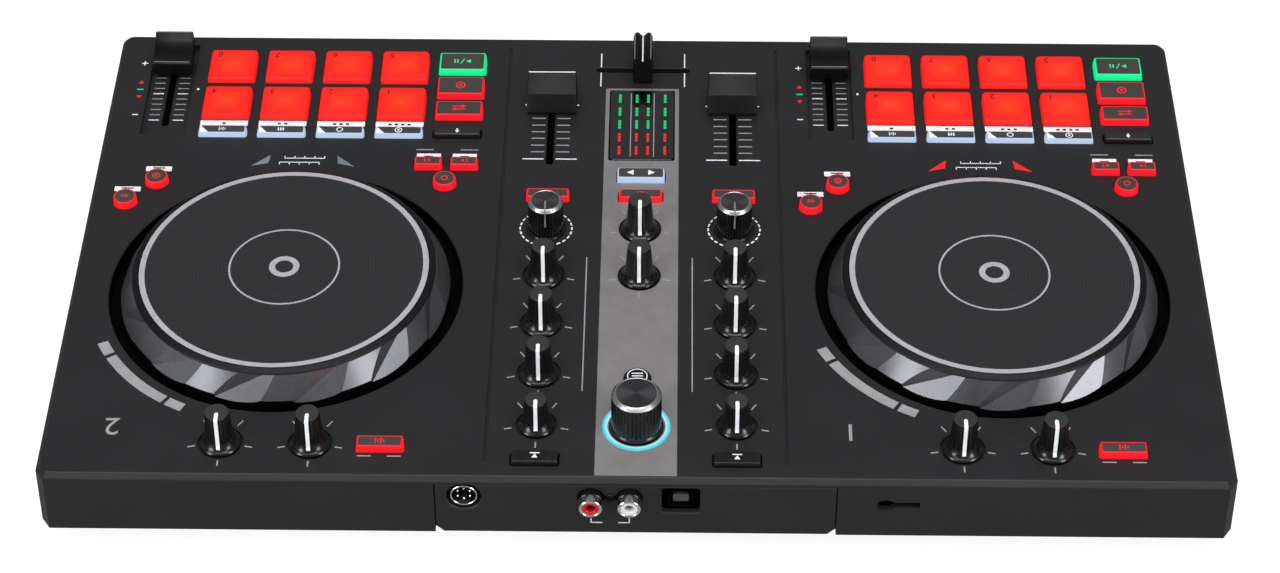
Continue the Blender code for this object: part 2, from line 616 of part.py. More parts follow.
def bottom_shell():
    """A shallow tray with sloping sides, inside the upper shell's walls, with two axle bushes."""
    inset = WALL_T + GAP
    floor_inset = inset + BELLY_INSET
    bottom = -WALL_H - BELLY_H
    tray_t = 2.0 * MM
    bm = bmesh.new()
    add_stack(bm, [(case_outline(floor_inset), bottom), (case_outline(inset), -WALL_H),
                   (case_outline(inset), -WALL_H + 3 * MM)])
    tray = node("bottom_shell", bm, CASE_BLACK, (0, 0, 0), PANEL)
    hollow = bmesh.new()
    add_stack(hollow, [(case_outline(floor_inset + tray_t), bottom + tray_t),
                       (case_outline(inset + tray_t), -WALL_H + tray_t / 2),
                       (case_outline(inset + tray_t), -WALL_H + 4 * MM)])
    boolean(tray, hollow, "DIFFERENCE")
    bosses = bmesh.new()
    boss_top = BOARD_TOP - BOARD_T - 1.0 * MM
    for x in DECKS.values():
        add_block(bosses, circle(BOSS_R, 16, x, JOG_Y), bottom + tray_t / 2, boss_top)
    boolean(tray, bosses, "UNION")
    bores = bmesh.new()
    for x in DECKS.values():
        add_block(bores, circle(AXLE_R + GAP, 12, x, JOG_Y), boss_top - 5.0 * MM,
                  boss_top + 1 * MM)
    boolean(tray, bores, "DIFFERENCE")


def feet():
    across, back = CASE_W / 2 - 32.5 * MM, CASE_D / 2 - 34.4 * MM
    bottom = -WALL_H - BELLY_H
    for name, x, y in (("front_left", -across, -back), ("front_right", across, -back),
                       ("rear_left", -across, back), ("rear_right", across, back)):
        bm = bmesh.new()
        turned(bm, [(0, bottom - FOOT_H), (7.5 * MM, bottom - FOOT_H), (9 * MM, bottom - GAP),
                    (0, bottom - GAP)], 16)
        node(f"{name}_foot", bm, RUBBER, (x, y, 0), PANEL)


def control_board():
    """The circuit board with the potentiometers and fader bodies that stand on it."""
    half_w = CASE_W / 2 - 12.5 * MM
    front, rear = FRONT_EDGE + 9.4 * MM, REAR_EDGE - 7.4 * MM
    notch_x, notch_y = REAR_PANEL_W / 2 + 4 * MM, REAR_EDGE - 14.4 * MM
    outline = [(-half_w, front), (half_w, front), (half_w, rear), (notch_x, rear),
               (notch_x, notch_y), (-notch_x, notch_y), (-notch_x, rear), (-half_w, rear)]
    bm = bmesh.new()
    add_block(bm, outline, BOARD_TOP - BOARD_T, BOARD_TOP)
    board = node("control_board", bm, BOARD_GREEN, (0, 0, 0), PANEL)
    parts = bmesh.new()
    part_top = STEM_END - 0.4 * MM
    part_low = BOARD_TOP - 0.5 * MM
    spots = [(sign * MIXER_X, y) for sign in (-1, 1) for y in [FILTER_Y] + KNOB_Y]
    spots += [(0, FILTER_Y), (0, MASTER_Y)]
    spots += [(x + sign * FX_X, FX_Y) for x in DECKS.values() for sign in (-1, 1)]
    for x, y in spots:
        add_block(parts, rectangle(9.5 * MM, 9.5 * MM, x, y), part_low, part_top)
    add_block(parts, rectangle(12 * MM, 12 * MM, 0, ENCODER_Y), part_low,
              part_top - ENCODER_TRAVEL)
    fader_length = FADER_TRAVEL + 13.5 * MM
    for x in DECKS.values():
        add_block(parts, rectangle(9 * MM, fader_length, x + TEMPO_X, TEMPO_Y + FADER_TRAVEL / 2),
                  part_low, part_top)
    for sign in (-1, 1):
        add_block(parts, rectangle(9 * MM, fader_length, sign * MIXER_X,
                                   LINE_Y + FADER_TRAVEL / 2), part_low, part_top)
    add_block(parts, rectangle(2 * CROSS_TRAVEL + 13.5 * MM, 9 * MM, 0, CROSS_Y), part_low, part_top)
    boolean(board, parts, "UNION")
    holes = bmesh.new()
    for x in DECKS.values():
        add_block(holes, circle(BOSS_R + 2 * MM, 16, x, JOG_Y), BOARD_TOP - BOARD_T - 1 * MM,
                  BOARD_TOP + 1 * MM)
    boolean(board, holes, "DIFFERENCE")


# ---------------------------------------------------------------- sockets
def upright(thing_bm, x, z, radius, start, end, sides):
    """A round bar along Y from start to end, centred at (x, z)."""
    ring = circle(radius, sides)
    front = [thing_bm.verts.new((x + u, start, z + v)) for u, v in ring]
    back = [thing_bm.verts.new((x + u, end, z + v)) for u, v in ring]
    thing_bm.faces.new(front)
    thing_bm.faces.new(list(reversed(back)))
    for i in range(sides):
        j = (i + 1) % sides
        thing_bm.faces.new((front[i], back[i], back[j], front[j]))


def rear_panel():
    """The insert that carries the sockets, flush with the back of the case."""
    bottom, top = -WALL_H, -PLATE_T - 3 * GAP
    half, cut = REAR_PANEL_W / 2, 3.0 * MM
    outline = [(-half + cut, bottom), (half - cut, bottom), (half, bottom + cut), (half, top),
               (-half, top), (-half, bottom + cut)]
    bm = bmesh.new()
    ends = [[bm.verts.new((x, y, z)) for x, z in outline] for y in (REAR_EDGE - WALL_T, REAR_EDGE)]
    bm.faces.new(ends[0])
    bm.faces.new(list(reversed(ends[1])))
    for i in range(len(outline)):
        j = (i + 1) % len(outline)
        bm.faces.new((ends[0][i], ends[1][i], ends[1][j], ends[0][j]))
    panel = node("rear_panel", bm, CASE_BLACK, (0, 0, 0), PANEL)
    holes = bmesh.new()
    inner, outer = REAR_EDGE - 2 * WALL_T, REAR_EDGE + WALL_T
    for sign in (-1, 1):
        upright(holes, RCA_X + sign * RCA_PITCH / 2, SOCKET_Z, RCA_R + GAP, inner, outer, 16)
    upright(holes, DIN_X, SOCKET_Z, DIN_R + GAP, inner, outer, 16)
    add_block(holes, rectangle(USB_W + 2 * GAP, outer - inner, USB_X, (inner + outer) / 2),
              USB_Z - USB_H / 2 - GAP, USB_Z + USB_H / 2 + GAP)
    boolean(panel, holes, "DIFFERENCE")


def socket_bodies():
    inside = REAR_EDGE - WALL_T - GAP
    block = bmesh.new()
    depth = SOCKET_DEPTH - WALL_T
    add_block(block, rectangle(2 * RCA_PITCH, depth, RCA_X, inside - depth / 2),
              SOCKET_Z - 5.5 * MM, SOCKET_Z + 5.0 * MM)
    rca = node("rca_sockets", block, SOCKET_STEEL, (0, 0, 0), PANEL)
    barrels = bmesh.new()
    bores = bmesh.new()
    for sign in (-1, 1):
        x = RCA_X + sign * RCA_PITCH / 2
        upright(barrels, x, SOCKET_Z, RCA_R, inside - 1 * MM, REAR_EDGE + RCA_REACH, 16)
        upright(bores, x, SOCKET_Z, RCA_BORE_R, REAR_EDGE - 2 * MM, REAR_EDGE + RCA_REACH + 1 * MM, 10)
    boolean(rca, barrels, "UNION")
    boolean(rca, bores, "DIFFERENCE")

    usb_face = REAR_EDGE - 1.0 * MM
    bm = bmesh.new()
    add_block(bm, rectangle(USB_W, SOCKET_DEPTH, USB_X, usb_face - SOCKET_DEPTH / 2),
              USB_Z - USB_H / 2, USB_Z + USB_H / 2)
    usb = node("usb_socket", bm, SOCKET_STEEL, (0, 0, 0), PANEL)
    mouth = bmesh.new()
    add_block(mouth, rectangle(USB_MOUTH[0], SOCKET_DEPTH, USB_X, usb_face - 0.5 * MM),
              USB_Z - USB_MOUTH[1] / 2, USB_Z + USB_MOUTH[1] / 2)
    boolean(usb, mouth, "DIFFERENCE")
    tongue = bmesh.new()
    add_block(tongue, rectangle(USB_TONGUE[0], SOCKET_DEPTH - 3 * MM, USB_X,
                                usb_face - SOCKET_DEPTH / 2 - 0.5 * MM),
              USB_Z - USB_TONGUE[1] / 2, USB_Z + USB_TONGUE[1] / 2)
    boolean(usb, tongue, "UNION")

    bm = bmesh.new()
    upright(bm, DIN_X, SOCKET_Z, DIN_R, usb_face - SOCKET_DEPTH, usb_face, 20)
    din = node("mini_din_socket", bm, SOCKET_STEEL, (0, 0, 0), PANEL)
    mouth = bmesh.new()
    upright(mouth, DIN_X, SOCKET_Z, DIN_MOUTH_R, usb_face - SOCKET_DEPTH + 3 * MM, usb_face + 1 * MM, 16)
    boolean(din, mouth, "DIFFERENCE")

    face = FRONT_EDGE + 0.5 * MM
    bm = bmesh.new()
    add_block(bm, rectangle(2 * JACK_R, 8.5 * MM, JACK_X, face + 4.25 * MM), JACK_Z - JACK_R,
              JACK_Z + JACK_R)
    jack = node("headphone_socket", bm, KNOB_BLACK, (0, 0, 0), PANEL)
    bore = bmesh.new()
    upright(bore, JACK_X, JACK_Z, JACK_HOLE_R, face - 1 * MM, face + 7 * MM, 12)
    boolean(jack, bore, "DIFFERENCE")


# ---------------------------------------------------------------- assembly
for side, x in DECKS.items():
    jog_wheel(side)
    transport_keys(side, x)
    pad_mat(side, x)
    mode_keys(side, x)
    loop_keys(side, x)
    slip_keys(side, x)
    fx_key(side, x)
    fx_knobs(side, x)
    tempo_fader(side, x)
mixer_knobs()
browse_encoder()
load_keys()
cue_row()
small_mixer_keys()
meter_window()
mixer_faders()
top_shell()
bottom_shell()
feet()
control_board()
rear_panel()
socket_bodies()
bpy.context.view_layer.update()
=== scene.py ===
# %% [markdown]
# # A two-deck DJ controller, dressed
# The frame holds every working piece at its true place. This notebook gives each piece the surface
# that a hand and an eye would find on it: moulded plastic, printed lines, lit keys, ribbed knobs.
# It starts with the frame, because every size below is read from it.

# %% Load the frame
import json
from math import atan2, cos, degrees, pi, radians, sin, tau

import bmesh
import bpy
from mathutils import Matrix, Vector


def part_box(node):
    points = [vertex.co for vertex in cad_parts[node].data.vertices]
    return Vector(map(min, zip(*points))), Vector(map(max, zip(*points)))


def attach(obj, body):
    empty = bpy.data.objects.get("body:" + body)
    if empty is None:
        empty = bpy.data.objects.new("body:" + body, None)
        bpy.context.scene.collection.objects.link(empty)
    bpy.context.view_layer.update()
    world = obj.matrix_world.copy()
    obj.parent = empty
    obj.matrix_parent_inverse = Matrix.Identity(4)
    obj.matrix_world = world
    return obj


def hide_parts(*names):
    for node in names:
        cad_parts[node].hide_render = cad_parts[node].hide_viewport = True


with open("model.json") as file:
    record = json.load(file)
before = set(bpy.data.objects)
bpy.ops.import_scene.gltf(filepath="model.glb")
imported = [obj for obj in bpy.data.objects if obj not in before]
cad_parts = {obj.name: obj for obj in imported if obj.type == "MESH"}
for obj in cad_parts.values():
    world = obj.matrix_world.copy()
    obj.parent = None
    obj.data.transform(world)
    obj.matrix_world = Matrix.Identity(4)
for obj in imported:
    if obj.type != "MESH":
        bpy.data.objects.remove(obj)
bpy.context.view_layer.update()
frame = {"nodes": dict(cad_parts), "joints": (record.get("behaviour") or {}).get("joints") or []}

# %% [markdown]
# Small things are easiest to think about in millimetres, so pieces are modelled in "panel space":
# millimetres, measured from the middle of the case on the top face of the control panel, with the
# DJ at -Y and the sockets at +Y. One matrix takes a finished piece from there into the frame.

# %% Panel space
MM = 0.001
shell_low, shell_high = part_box("top_shell")
PANEL = Vector(((shell_low.x + shell_high.x) / 2, (shell_low.y + shell_high.y) / 2, shell_high.z))
TO_FRAME = Matrix.Translation(PANEL) @ Matrix.Scale(MM, 4)


def panel_box(node):
    """Lowest and highest corner of a CAD node, in panel space."""
    low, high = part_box(node)
    return (low - PANEL) / MM, (high - PANEL) / MM


def spot(node):
    """The middle of a CAD node seen from above, on the panel's top face."""
    low, high = panel_box(node)
    return Vector(((low.x + high.x) / 2, (low.y + high.y) / 2, 0))


def extent(node):
    low, high = panel_box(node)
    return high - low


CASE_LOW, CASE_HIGH = panel_box("top_shell")
REAR, FRONT = CASE_HIGH.y, CASE_LOW.y
AXES = {joint["child"]: (Vector(joint["pos_m"]) - PANEL) / MM * Vector((1, 1, 0))
        for joint in frame["joints"] if "pos_m" in joint}
DECKS = {side: AXES[f"jog_wheel_{side}"] for side in ("1", "2")}
print("case", [round(v, 1) for v in CASE_HIGH - CASE_LOW], "mm, decks at", DECKS)

# %% [markdown]
# The view is from behind the controller, where the sockets are, looking down at it from about
# 43 degrees with a long lens. The camera comes first, so that every later try can be looked at.

# %% Camera
LENS = 91.38
CAMERA_AT = (-0.01068, 0.87246, 0.82598)
CAMERA_LOOKS = Vector((0.0089, -0.7343, -0.6787))
camera = bpy.data.objects.new("camera", bpy.data.cameras.new("camera"))
bpy.context.scene.collection.objects.link(camera)
camera.data.lens = LENS
camera.location = CAMERA_AT
camera.rotation_euler = CAMERA_LOOKS.to_track_quat("-Z", "Y").to_euler()
bpy.context.scene.camera = camera
print("camera looks", round(degrees(atan2(-CAMERA_LOOKS.z, -CAMERA_LOOKS.y)), 1), "degrees down")

# %% [markdown]
# The stage is a plain white sweep. Black plastic shows almost nothing of itself: what the eye
# reads is the soft boxes mirrored in it. So there is one large box overhead towards the viewer,
# which gives the bevels their gleam, and a box on either side, which the jog wheels' facets catch.
# White paper would also light the walls from below and turn them grey. So this paper is grey to
# the object, and its white is an emission for camera rays alone.

# %% Colours, nodes and soft boxes
def linear(code):
    """An sRGB hex value as the linear colour that a shader wants."""
    parts = [int(code[i:i + 2], 16) / 255 for i in (1, 3, 5)]
    return (*(c / 12.92 if c <= 0.04045 else ((c + 0.055) / 1.055) ** 2.4 for c in parts), 1.0)


def add(tree, kind, sockets=(), **settings):
    """Add one shader node: settings are its properties, sockets its values or incoming links."""
    node = tree.nodes.new(kind)
    for name, value in settings.items():
        setattr(node, name, value)
    for name, value in dict(sockets).items():
        if isinstance(value, bpy.types.NodeSocket):
            tree.links.new(value, node.inputs[name])
        else:
            node.inputs[name].default_value = value
    return node


def soft_box(name, place, aim, width, height, power):
    """A rectangular studio light at a place, turned to its aim."""
    light = bpy.data.objects.new(name, bpy.data.lights.new(name, "AREA"))
    light.data.shape, light.data.size, light.data.size_y = "RECTANGLE", width, height
    light.data.energy = power
    light.location = place
    light.rotation_euler = (Vector(aim) - Vector(place)).to_track_quat("-Z", "Y").to_euler()
    bpy.context.scene.collection.objects.link(light)


print("mid grey is", [round(c, 3) for c in linear("#808080")[:3]], "in linear colour")

# %% Studio light
world = bpy.data.worlds.new("studio")
world.use_nodes = True
world.node_tree.nodes["Background"].inputs["Color"].default_value = linear("#f4f6fa")
world.node_tree.nodes["Background"].inputs["Strength"].default_value = 0.22
bpy.context.scene.world = world
bpy.context.scene.view_settings.view_transform = "Standard"

soft_box("overhead_box", (0, 0.55, 1.5), (0, 0, 0), 1.6, 1.0, 24)
soft_box("left_box", (1.3, 1.0, 0.62), (0, 0.05, 0.03), 0.5, 0.9, 12)
soft_box("right_box", (-1.3, 1.0, 0.62), (0, 0.05, 0.03), 0.5, 0.9, 12)
soft_box("front_box", (0, -1.6, 1.1), (0, 0, 0), 2.0, 0.7, 1.5)

# %% Floor
floor_bm = bmesh.new()
bmesh.ops.create_grid(floor_bm, x_segments=2, y_segments=2, size=6.0)
floor_mesh = bpy.data.meshes.new("floor")
floor_bm.to_mesh(floor_mesh)
floor_bm.free()
floor = bpy.data.objects.new("floor", floor_mesh)
bpy.context.scene.collection.objects.link(floor)
sweep = bpy.data.materials.new("matt_paper_sweep")
sweep.use_nodes = True
sweep_shader = sweep.node_tree.nodes["Principled BSDF"]
sweep_shader.inputs["Base Color"].default_value = linear("#9a9a9a")
sweep_shader.inputs["Roughness"].default_value = 0.9
sweep_shader.inputs["Specular IOR Level"].default_value = 0.0
sweep_shader.inputs["Emission Color"].default_value = linear("#ededed")
rays = add(sweep.node_tree, "ShaderNodeLightPath")
sweep.node_tree.links.new(rays.outputs["Is Camera Ray"], sweep_shader.inputs["Emission Strength"])
floor_mesh.materials.append(sweep)
print("floor", floor.dimensions.x, "m wide")

# %% [markdown]
# ## Finishes
# Each finish is named for its real material and how the surface was made. Patterns read Object
# coordinates, which are metres here, so a noise of scale 1000 / n has features about n mm wide.
# Real moulding texture is near 0.1 mm, too fine to show at this distance: it is drawn near 0.8 mm.

# %% A finish to start from, and moulded plastics
def new_finish(name, colour, roughness, metallic=0.0, **sockets):
    """A material with its plain values set on the shader's own sockets."""
    finish = bpy.data.materials.new(name)
    finish.use_nodes = True
    shader = finish.node_tree.nodes["Principled BSDF"]
    values = {"Base Color": linear(colour), "Roughness": roughness, "Metallic": metallic}
    for socket, value in {**values, **sockets}.items():
        shader.inputs[socket].default_value = value
    return finish, finish.node_tree, shader


def set_stops(ramp, shades, stops=(0.0, 1.0)):
    """Put two shades at the two stops of a colour ramp."""
    for element, stop, shade in zip(ramp.color_ramp.elements, stops, shades):
        element.position, element.color = stop, linear(shade)


def textured(tree, shader, grain, depth, shades, spread=0.06, cloud=22.0):
    """Moulding grain as bump, slow drifts in colour, and patches a little more or less glossy."""
    place = add(tree, "ShaderNodeTexCoord").outputs["Object"]
    fine = add(tree, "ShaderNodeTexNoise", {"Vector": place, "Scale": 1 / (grain * MM),
                                            "Detail": 3.0})
    bump = add(tree, "ShaderNodeBump", {"Height": fine.outputs["Fac"], "Distance": depth * MM,
                                        "Strength": 0.6})
    tree.links.new(bump.outputs["Normal"], shader.inputs["Normal"])
    slow = add(tree, "ShaderNodeTexNoise", {"Vector": place, "Scale": 1 / (cloud * MM),
                                            "Detail": 4.0})
    ramp = add(tree, "ShaderNodeValToRGB", {"Fac": slow.outputs["Fac"]})
    set_stops(ramp, shades, (0.3, 0.7))
    tree.links.new(ramp.outputs["Color"], shader.inputs["Base Color"])
    rough = shader.inputs["Roughness"].default_value
    gloss = add(tree, "ShaderNodeMapRange", {"Value": fine.outputs["Fac"], "From Min": 0.3,
                "From Max": 0.7, "To Min": rough - spread, "To Max": rough + spread})
    tree.links.new(gloss.outputs["Result"], shader.inputs["Roughness"])


def moulded(name, shades, roughness, grain=0.8, depth=0.012, **sockets):
    """Plastic from a mould whose surface was etched or polished."""
    finish, tree, shader = new_finish(name, shades[0], roughness, **sockets)
    textured(tree, shader, grain, depth, shades)
    return finish


# ABS moulded in an etched tool: soft charcoal, with a broad dull gloss and no mirror in it
CASE = moulded("etched_ABS_charcoal", ("#1a1a1c", "#1e1e20"), 0.50, **{"Specular IOR Level": 0.35})
# The same ABS in shade below: a touch darker, rougher grain
UNDERSIDE = moulded("etched_ABS_underside", ("#1d1d1f", "#222224"), 0.60, grain=1.1, depth=0.02)
# ABS from a polished tool: near black, with a clear lacquer-like mirror of the lights
GLOSS = moulded("polished_ABS_black", ("#0c0c0d", "#111112"), 0.22, depth=0.003)
# Knob tops carry a spark-eroded face, a matt dark grey disc against the glossy flank
KNOB_TOP = moulded("spark_eroded_ABS_grey", ("#222121", "#292828"), 0.62, grain=0.7)
# Painted shade: near-black laid where shade falls, on well walls, gaps, grooves, socket hollows and
# the board under the keys; matt, so that it swallows light. The same black prints the dark dashes
# and pips in the label boxes.
SHADE_AND_DARK_INK = moulded("painted_shade_and_dark_ink", ("#020203", "#040405"), 0.8, **{"Specular IOR Level": 0.05})
# Key tops are sprayed brown-black over a clear moulding, with the symbols etched out
KEY_TOP = moulded("sprayed_key_coat", ("#373230", "#3d3836"), 0.48, grain=0.7, depth=0.01)
# Silicone rubber: dull, with a faint bloom
RUBBER = moulded("moulded_rubber_black", ("#101010", "#181818"), 0.85, grain=0.9, depth=0.03)
print("moulded plastics ready")

# %% [markdown]
# Printed lines are screen ink, a film a few hundredths of a millimetre thick. The jog wheel's
# skirt is metallic lacquer over plastic: fine flakes make it sparkle slightly and mirror the
# lights in hard-edged patches. The encoder and filter knobs end in a ring of turned aluminium.

# %% Inks, lacquer and metals
def printed(name, shades, roughness=0.55, **sockets):
    """Screen ink: flat colour with the faint unevenness of a squeegee pass."""
    finish, tree, shader = new_finish(name, shades[0], roughness, **sockets)
    textured(tree, shader, 0.5, 0.004, shades, spread=0.08, cloud=4.0)
    return finish


WHITE_INK = printed("screen_ink_white", ("#e4e6ea", "#f4f6fa"))
GREY_INK = printed("screen_ink_grey", ("#8f8e90", "#9a999b"))
RING_INK = printed("pad_printed_light_grey", ("#a19da3", "#aba7ad"), 0.5)
# Metallic silver ink over ABS: pearly grey, brighter than paint but with no mirror; on the fader
# caps the same silver is laid along ridge tops as a painted highlight
SILVER_INK_AND_HIGHLIGHT = printed("screen_ink_metallic_silver_and_painted_highlight", ("#858282", "#8c8989"), 0.42, metallic=0.35)


def flaked(name, shades, roughness, flake=0.35):
    """Lacquer with metal flakes: a mirror broken into fine sparkle."""
    finish, tree, shader = new_finish(name, shades[0], roughness, 0.85)
    place = add(tree, "ShaderNodeTexCoord").outputs["Object"]
    flakes = add(tree, "ShaderNodeTexVoronoi", {"Vector": place, "Scale": 1 / (flake * MM)})
    ramp = add(tree, "ShaderNodeValToRGB", {"Fac": flakes.outputs["Color"]})
    set_stops(ramp, shades)
    tree.links.new(ramp.outputs["Color"], shader.inputs["Base Color"])
    bump = add(tree, "ShaderNodeBump", {"Height": flakes.outputs["Distance"], "Strength": 0.12,
                                        "Distance": 0.01 * MM})
    tree.links.new(bump.outputs["Normal"], shader.inputs["Normal"])
    gloss = add(tree, "ShaderNodeMapRange", {"Value": flakes.outputs["Color"],
                                             "To Min": roughness, "To Max": roughness + 0.1})
    tree.links.new(gloss.outputs["Result"], shader.inputs["Roughness"])
    return finish


# Gunmetal lacquer on the jog skirt: dark where it mirrors the room, bright where it finds a light
SKIRT = flaked("metallic_lacquer_gunmetal", ("#6a6b6f", "#78797d"), 0.30)
# The narrow shoulder above the skirt has the same lacquer, ground duller, and painted darker as
# shade
SHOULDER_PAINTED_SHADE = flaked("metallic_lacquer_satin_painted_shade", ("#202021", "#2a2a2b"), 0.42)


def turned_metal(name, shades, roughness, mark=0.4):
    """Metal off a lathe: tool marks as fine unevenness in its shade and gloss."""
    finish, tree, shader = new_finish(name, shades[0], roughness, 1.0)
    place = add(tree, "ShaderNodeTexCoord").outputs["Object"]
    marks = add(tree, "ShaderNodeTexNoise", {"Vector": place, "Scale": 1 / (mark * MM),
                                             "Detail": 2.0})
    ramp = add(tree, "ShaderNodeValToRGB", {"Fac": marks.outputs["Fac"]})
    set_stops(ramp, shades)
    tree.links.new(ramp.outputs["Color"], shader.inputs["Base Color"])
    gloss = add(tree, "ShaderNodeMapRange", {"Value": marks.outputs["Fac"],
                "To Min": roughness - 0.08, "To Max": roughness + 0.08})
    tree.links.new(gloss.outputs["Result"], shader.inputs["Roughness"])
    return finish


ALUMINIUM = turned_metal("turned_aluminium", ("#b8b8ba", "#d2d2d4"), 0.30)
DARK_METAL = turned_metal("black_anodised_aluminium", ("#1c1c1e", "#2a2a2c"), 0.36)
NICKEL = turned_metal("nickel_plate", ("#cfcfce", "#e2e1df"), 0.18)
print("inks, lacquers and metals ready")

# %% [markdown]
# Lit keys are clear silicone or polycarbonate with an LED underneath. Light wells up strongest
# over the LED and fades towards the rim, so a pad is orange in its middle and deep red at its
# edge. The mesh carries that as a "glow" value, 1 over the LED and 0 at the rim.

# %% Lit plastics
def lit(name, rim, middle, strength, gloss=0.4):
    """Translucent plastic with an LED under it; colours run from the rim to over the LED."""
    finish, tree, shader = new_finish(name, rim, gloss)
    glow = add(tree, "ShaderNodeAttribute", attribute_name="glow")
    place = add(tree, "ShaderNodeTexCoord").outputs["Object"]
    cloudy = add(tree, "ShaderNodeTexNoise", {"Vector": place, "Scale": 1 / (3.0 * MM)})
    drift = add(tree, "ShaderNodeMapRange", {"Value": cloudy.outputs["Fac"], "To Min": -0.15,
                                             "To Max": 0.15})
    level = add(tree, "ShaderNodeMath", operation="ADD")
    tree.links.new(glow.outputs["Fac"], level.inputs[0])
    tree.links.new(drift.outputs["Result"], level.inputs[1])
    ramp = add(tree, "ShaderNodeValToRGB", {"Fac": level.outputs["Value"]})
    set_stops(ramp, (rim, middle))
    tree.links.new(ramp.outputs["Color"], shader.inputs["Emission Color"])
    shader.inputs["Base Color"].default_value = (*(0.25 * c for c in linear(rim)[:3]), 1.0)
    shader.inputs["Specular IOR Level"].default_value = 0.3
    shader.inputs["Emission Strength"].default_value = strength
    return finish


LIT_RED = lit("lit_polycarbonate_red", "#f51824", "#ff3a30", 0.90)
LIT_PAD = lit("lit_silicone_red", "#f01c14", "#ff4416", 0.86, 0.6)
LIT_GREEN = lit("lit_polycarbonate_green", "#00f096", "#10ffae", 0.85)
LIT_ICE = lit("lit_polycarbonate_ice", "#bcd2f2", "#e2f0ff", 0.72)
LIT_CYAN = lit("lit_polycarbonate_cyan", "#3cc4d4", "#c8ffff", 0.85)
LED_GREEN = lit("led_lens_green", "#12c878", "#2cf09a", 0.85)
LED_RED = lit("led_lens_red", "#ee2620", "#ff4a38", 0.80)
# An unlit lens over a sleeping LED: milky grey with a blue tinge
LENS_OFF = moulded("unlit_polycarbonate_lens", ("#66707c", "#74808c"), 0.35, grain=0.6)
# Smoked acrylic: a black pane with a sharp mirror over the level meters
SMOKED = moulded("smoked_acrylic", ("#060607", "#08080a"), 0.12, depth=0.001)
print("lit plastics ready")

# %% [markdown]
# ## Making meshes
# A piece is one bmesh: flat faces are grown upwards, profiles are spun, and sharp edges get the
# small radius that every moulded or milled edge has, because that radius is what catches light.

# %% Faces and bevels
def close_holes(bm):
    """Put a face in every opening, so that the body is closed."""
    rim = [edge for edge in bm.edges if edge.is_boundary]
    if rim:
        bmesh.ops.holes_fill(bm, edges=rim, sides=0)


def bevel(bm, geom, offset, affect, segments=1, clamp=False):
    """Chamfer or round edges or corners."""
    bmesh.ops.bevel(bm, geom=geom, offset=offset, offset_type="OFFSET", affect=affect,
                    segments=segments, profile=0.5, material=-1, clamp_overlap=clamp)


def flat(bm, corners, z=0.0, finish=0):
    """One flat face through corners given as (x, y)."""
    face = bm.faces.new([bm.verts.new((x, y, z)) for x, y in corners])
    face.normal_update()
    face.material_index = finish
    return face


def rounded(bm, width, depth, radius, x=0.0, y=0.0, z=0.0, segments=4):
    """One flat rectangle with round corners."""
    w, d = width / 2, depth / 2
    face = flat(bm, [(x - w, y - d), (x + w, y - d), (x + w, y + d), (x - w, y + d)], z)
    bevel(bm, face.verts[:], radius, "VERTICES", segments)
    near = Vector((x, y, z))
    return min(bm.faces, key=lambda f: (f.calc_center_median() - near).length)


def round_face(bm, radius, x=0.0, y=0.0, z=0.0, sides=32):
    made = bmesh.ops.create_circle(bm, cap_ends=True, radius=radius, segments=sides,
                                   matrix=Matrix.Translation((x, y, z)))
    return made["verts"][0].link_faces[0]


print("faces and bevels ready")

# %% [markdown]
# Most mouldings here are a flat outline that is raised in a few steps, each a little further in
# than the one below: that is a drafted flank and a rounded rim. The rest are spun.

# %% Growing, spinning and rounding


def grow(bm, face, steps):
    """Raise a face in steps of (inward, up, finish of the new flank); the face stays on top."""
    face.normal_update()
    if face.normal.z < 0:
        face.normal_flip()
    for inward, up, finish in steps:
        cap = face.material_index
        for side in bmesh.ops.inset_individual(bm, faces=[face], thickness=0.0, depth=up)["faces"]:
            side.material_index = finish
        face.material_index = cap
        for axis in (0, 1):
            places = [v.co[axis] for v in face.verts]
            middle, reach = (max(places) + min(places)) / 2, (max(places) - min(places)) / 2
            for vert in face.verts:
                vert.co[axis] = middle + (vert.co[axis] - middle) * (1 - inward / reach)
    return face


def solid(bm, face, steps):
    """Grow a face and close the opening that it leaves behind."""
    top = grow(bm, face, steps)
    close_holes(bm)
    return top


def lathe(bm, profile, steps, centre=(0.0, 0.0), closed=False, sweep=tau, start=0.0):
    """Spin (radius, height) points round a vertical axis through centre."""
    x, y = centre
    across = Vector((cos(start), sin(start)))
    chain = [bm.verts.new((x + across.x * r, y + across.y * r, z)) for r, z in profile]
    links = list(zip(chain, chain[1:])) + ([(chain[-1], chain[0])] if closed else [])
    edges = [bm.edges.new(pair) for pair in links]
    bmesh.ops.spin(bm, geom=chain + edges, cent=(x, y, 0), axis=(0, 0, 1), angle=sweep,
                   steps=steps, use_merge=sweep == tau)
    if not closed:
        axis = [v for v in bm.verts if (v.co.xy - Vector(centre)).length < 1e-4]
        bmesh.ops.remove_doubles(bm, verts=axis, dist=1e-4)


def soften(bm, width, segments=2, sharper_than=35):
    """Round every edge that is sharper than an angle in degrees."""
    bmesh.ops.recalc_face_normals(bm, faces=bm.faces)
    sharp = [edge for edge in bm.edges
             if edge.is_manifold and edge.calc_face_angle() > radians(sharper_than)]
    bevel(bm, sharp, width, "EDGES", segments, clamp=True)


print("growing and spinning ready")

# %% Painting and joining
def paint(bm, finish, where=lambda middle: True):
    """Give a finish to the faces whose middle passes a test."""
    for face in bm.faces:
        if where(face.calc_center_median()):
            face.material_index = finish


def paint_made(made, finish):
    """Give a finish to the faces that a create_ operator has just made."""
    for face in {face for vert in made["verts"] for face in vert.link_faces}:
        face.material_index = finish


def merge(bm, part, place=Matrix.Identity(4)):
    """Put a part's mesh, moved to its place, into a bigger one."""
    part.transform(place)
    copy = bpy.data.meshes.new("part")
    part.to_mesh(copy)
    part.free()
    bm.from_mesh(copy)
    bpy.data.meshes.remove(copy)


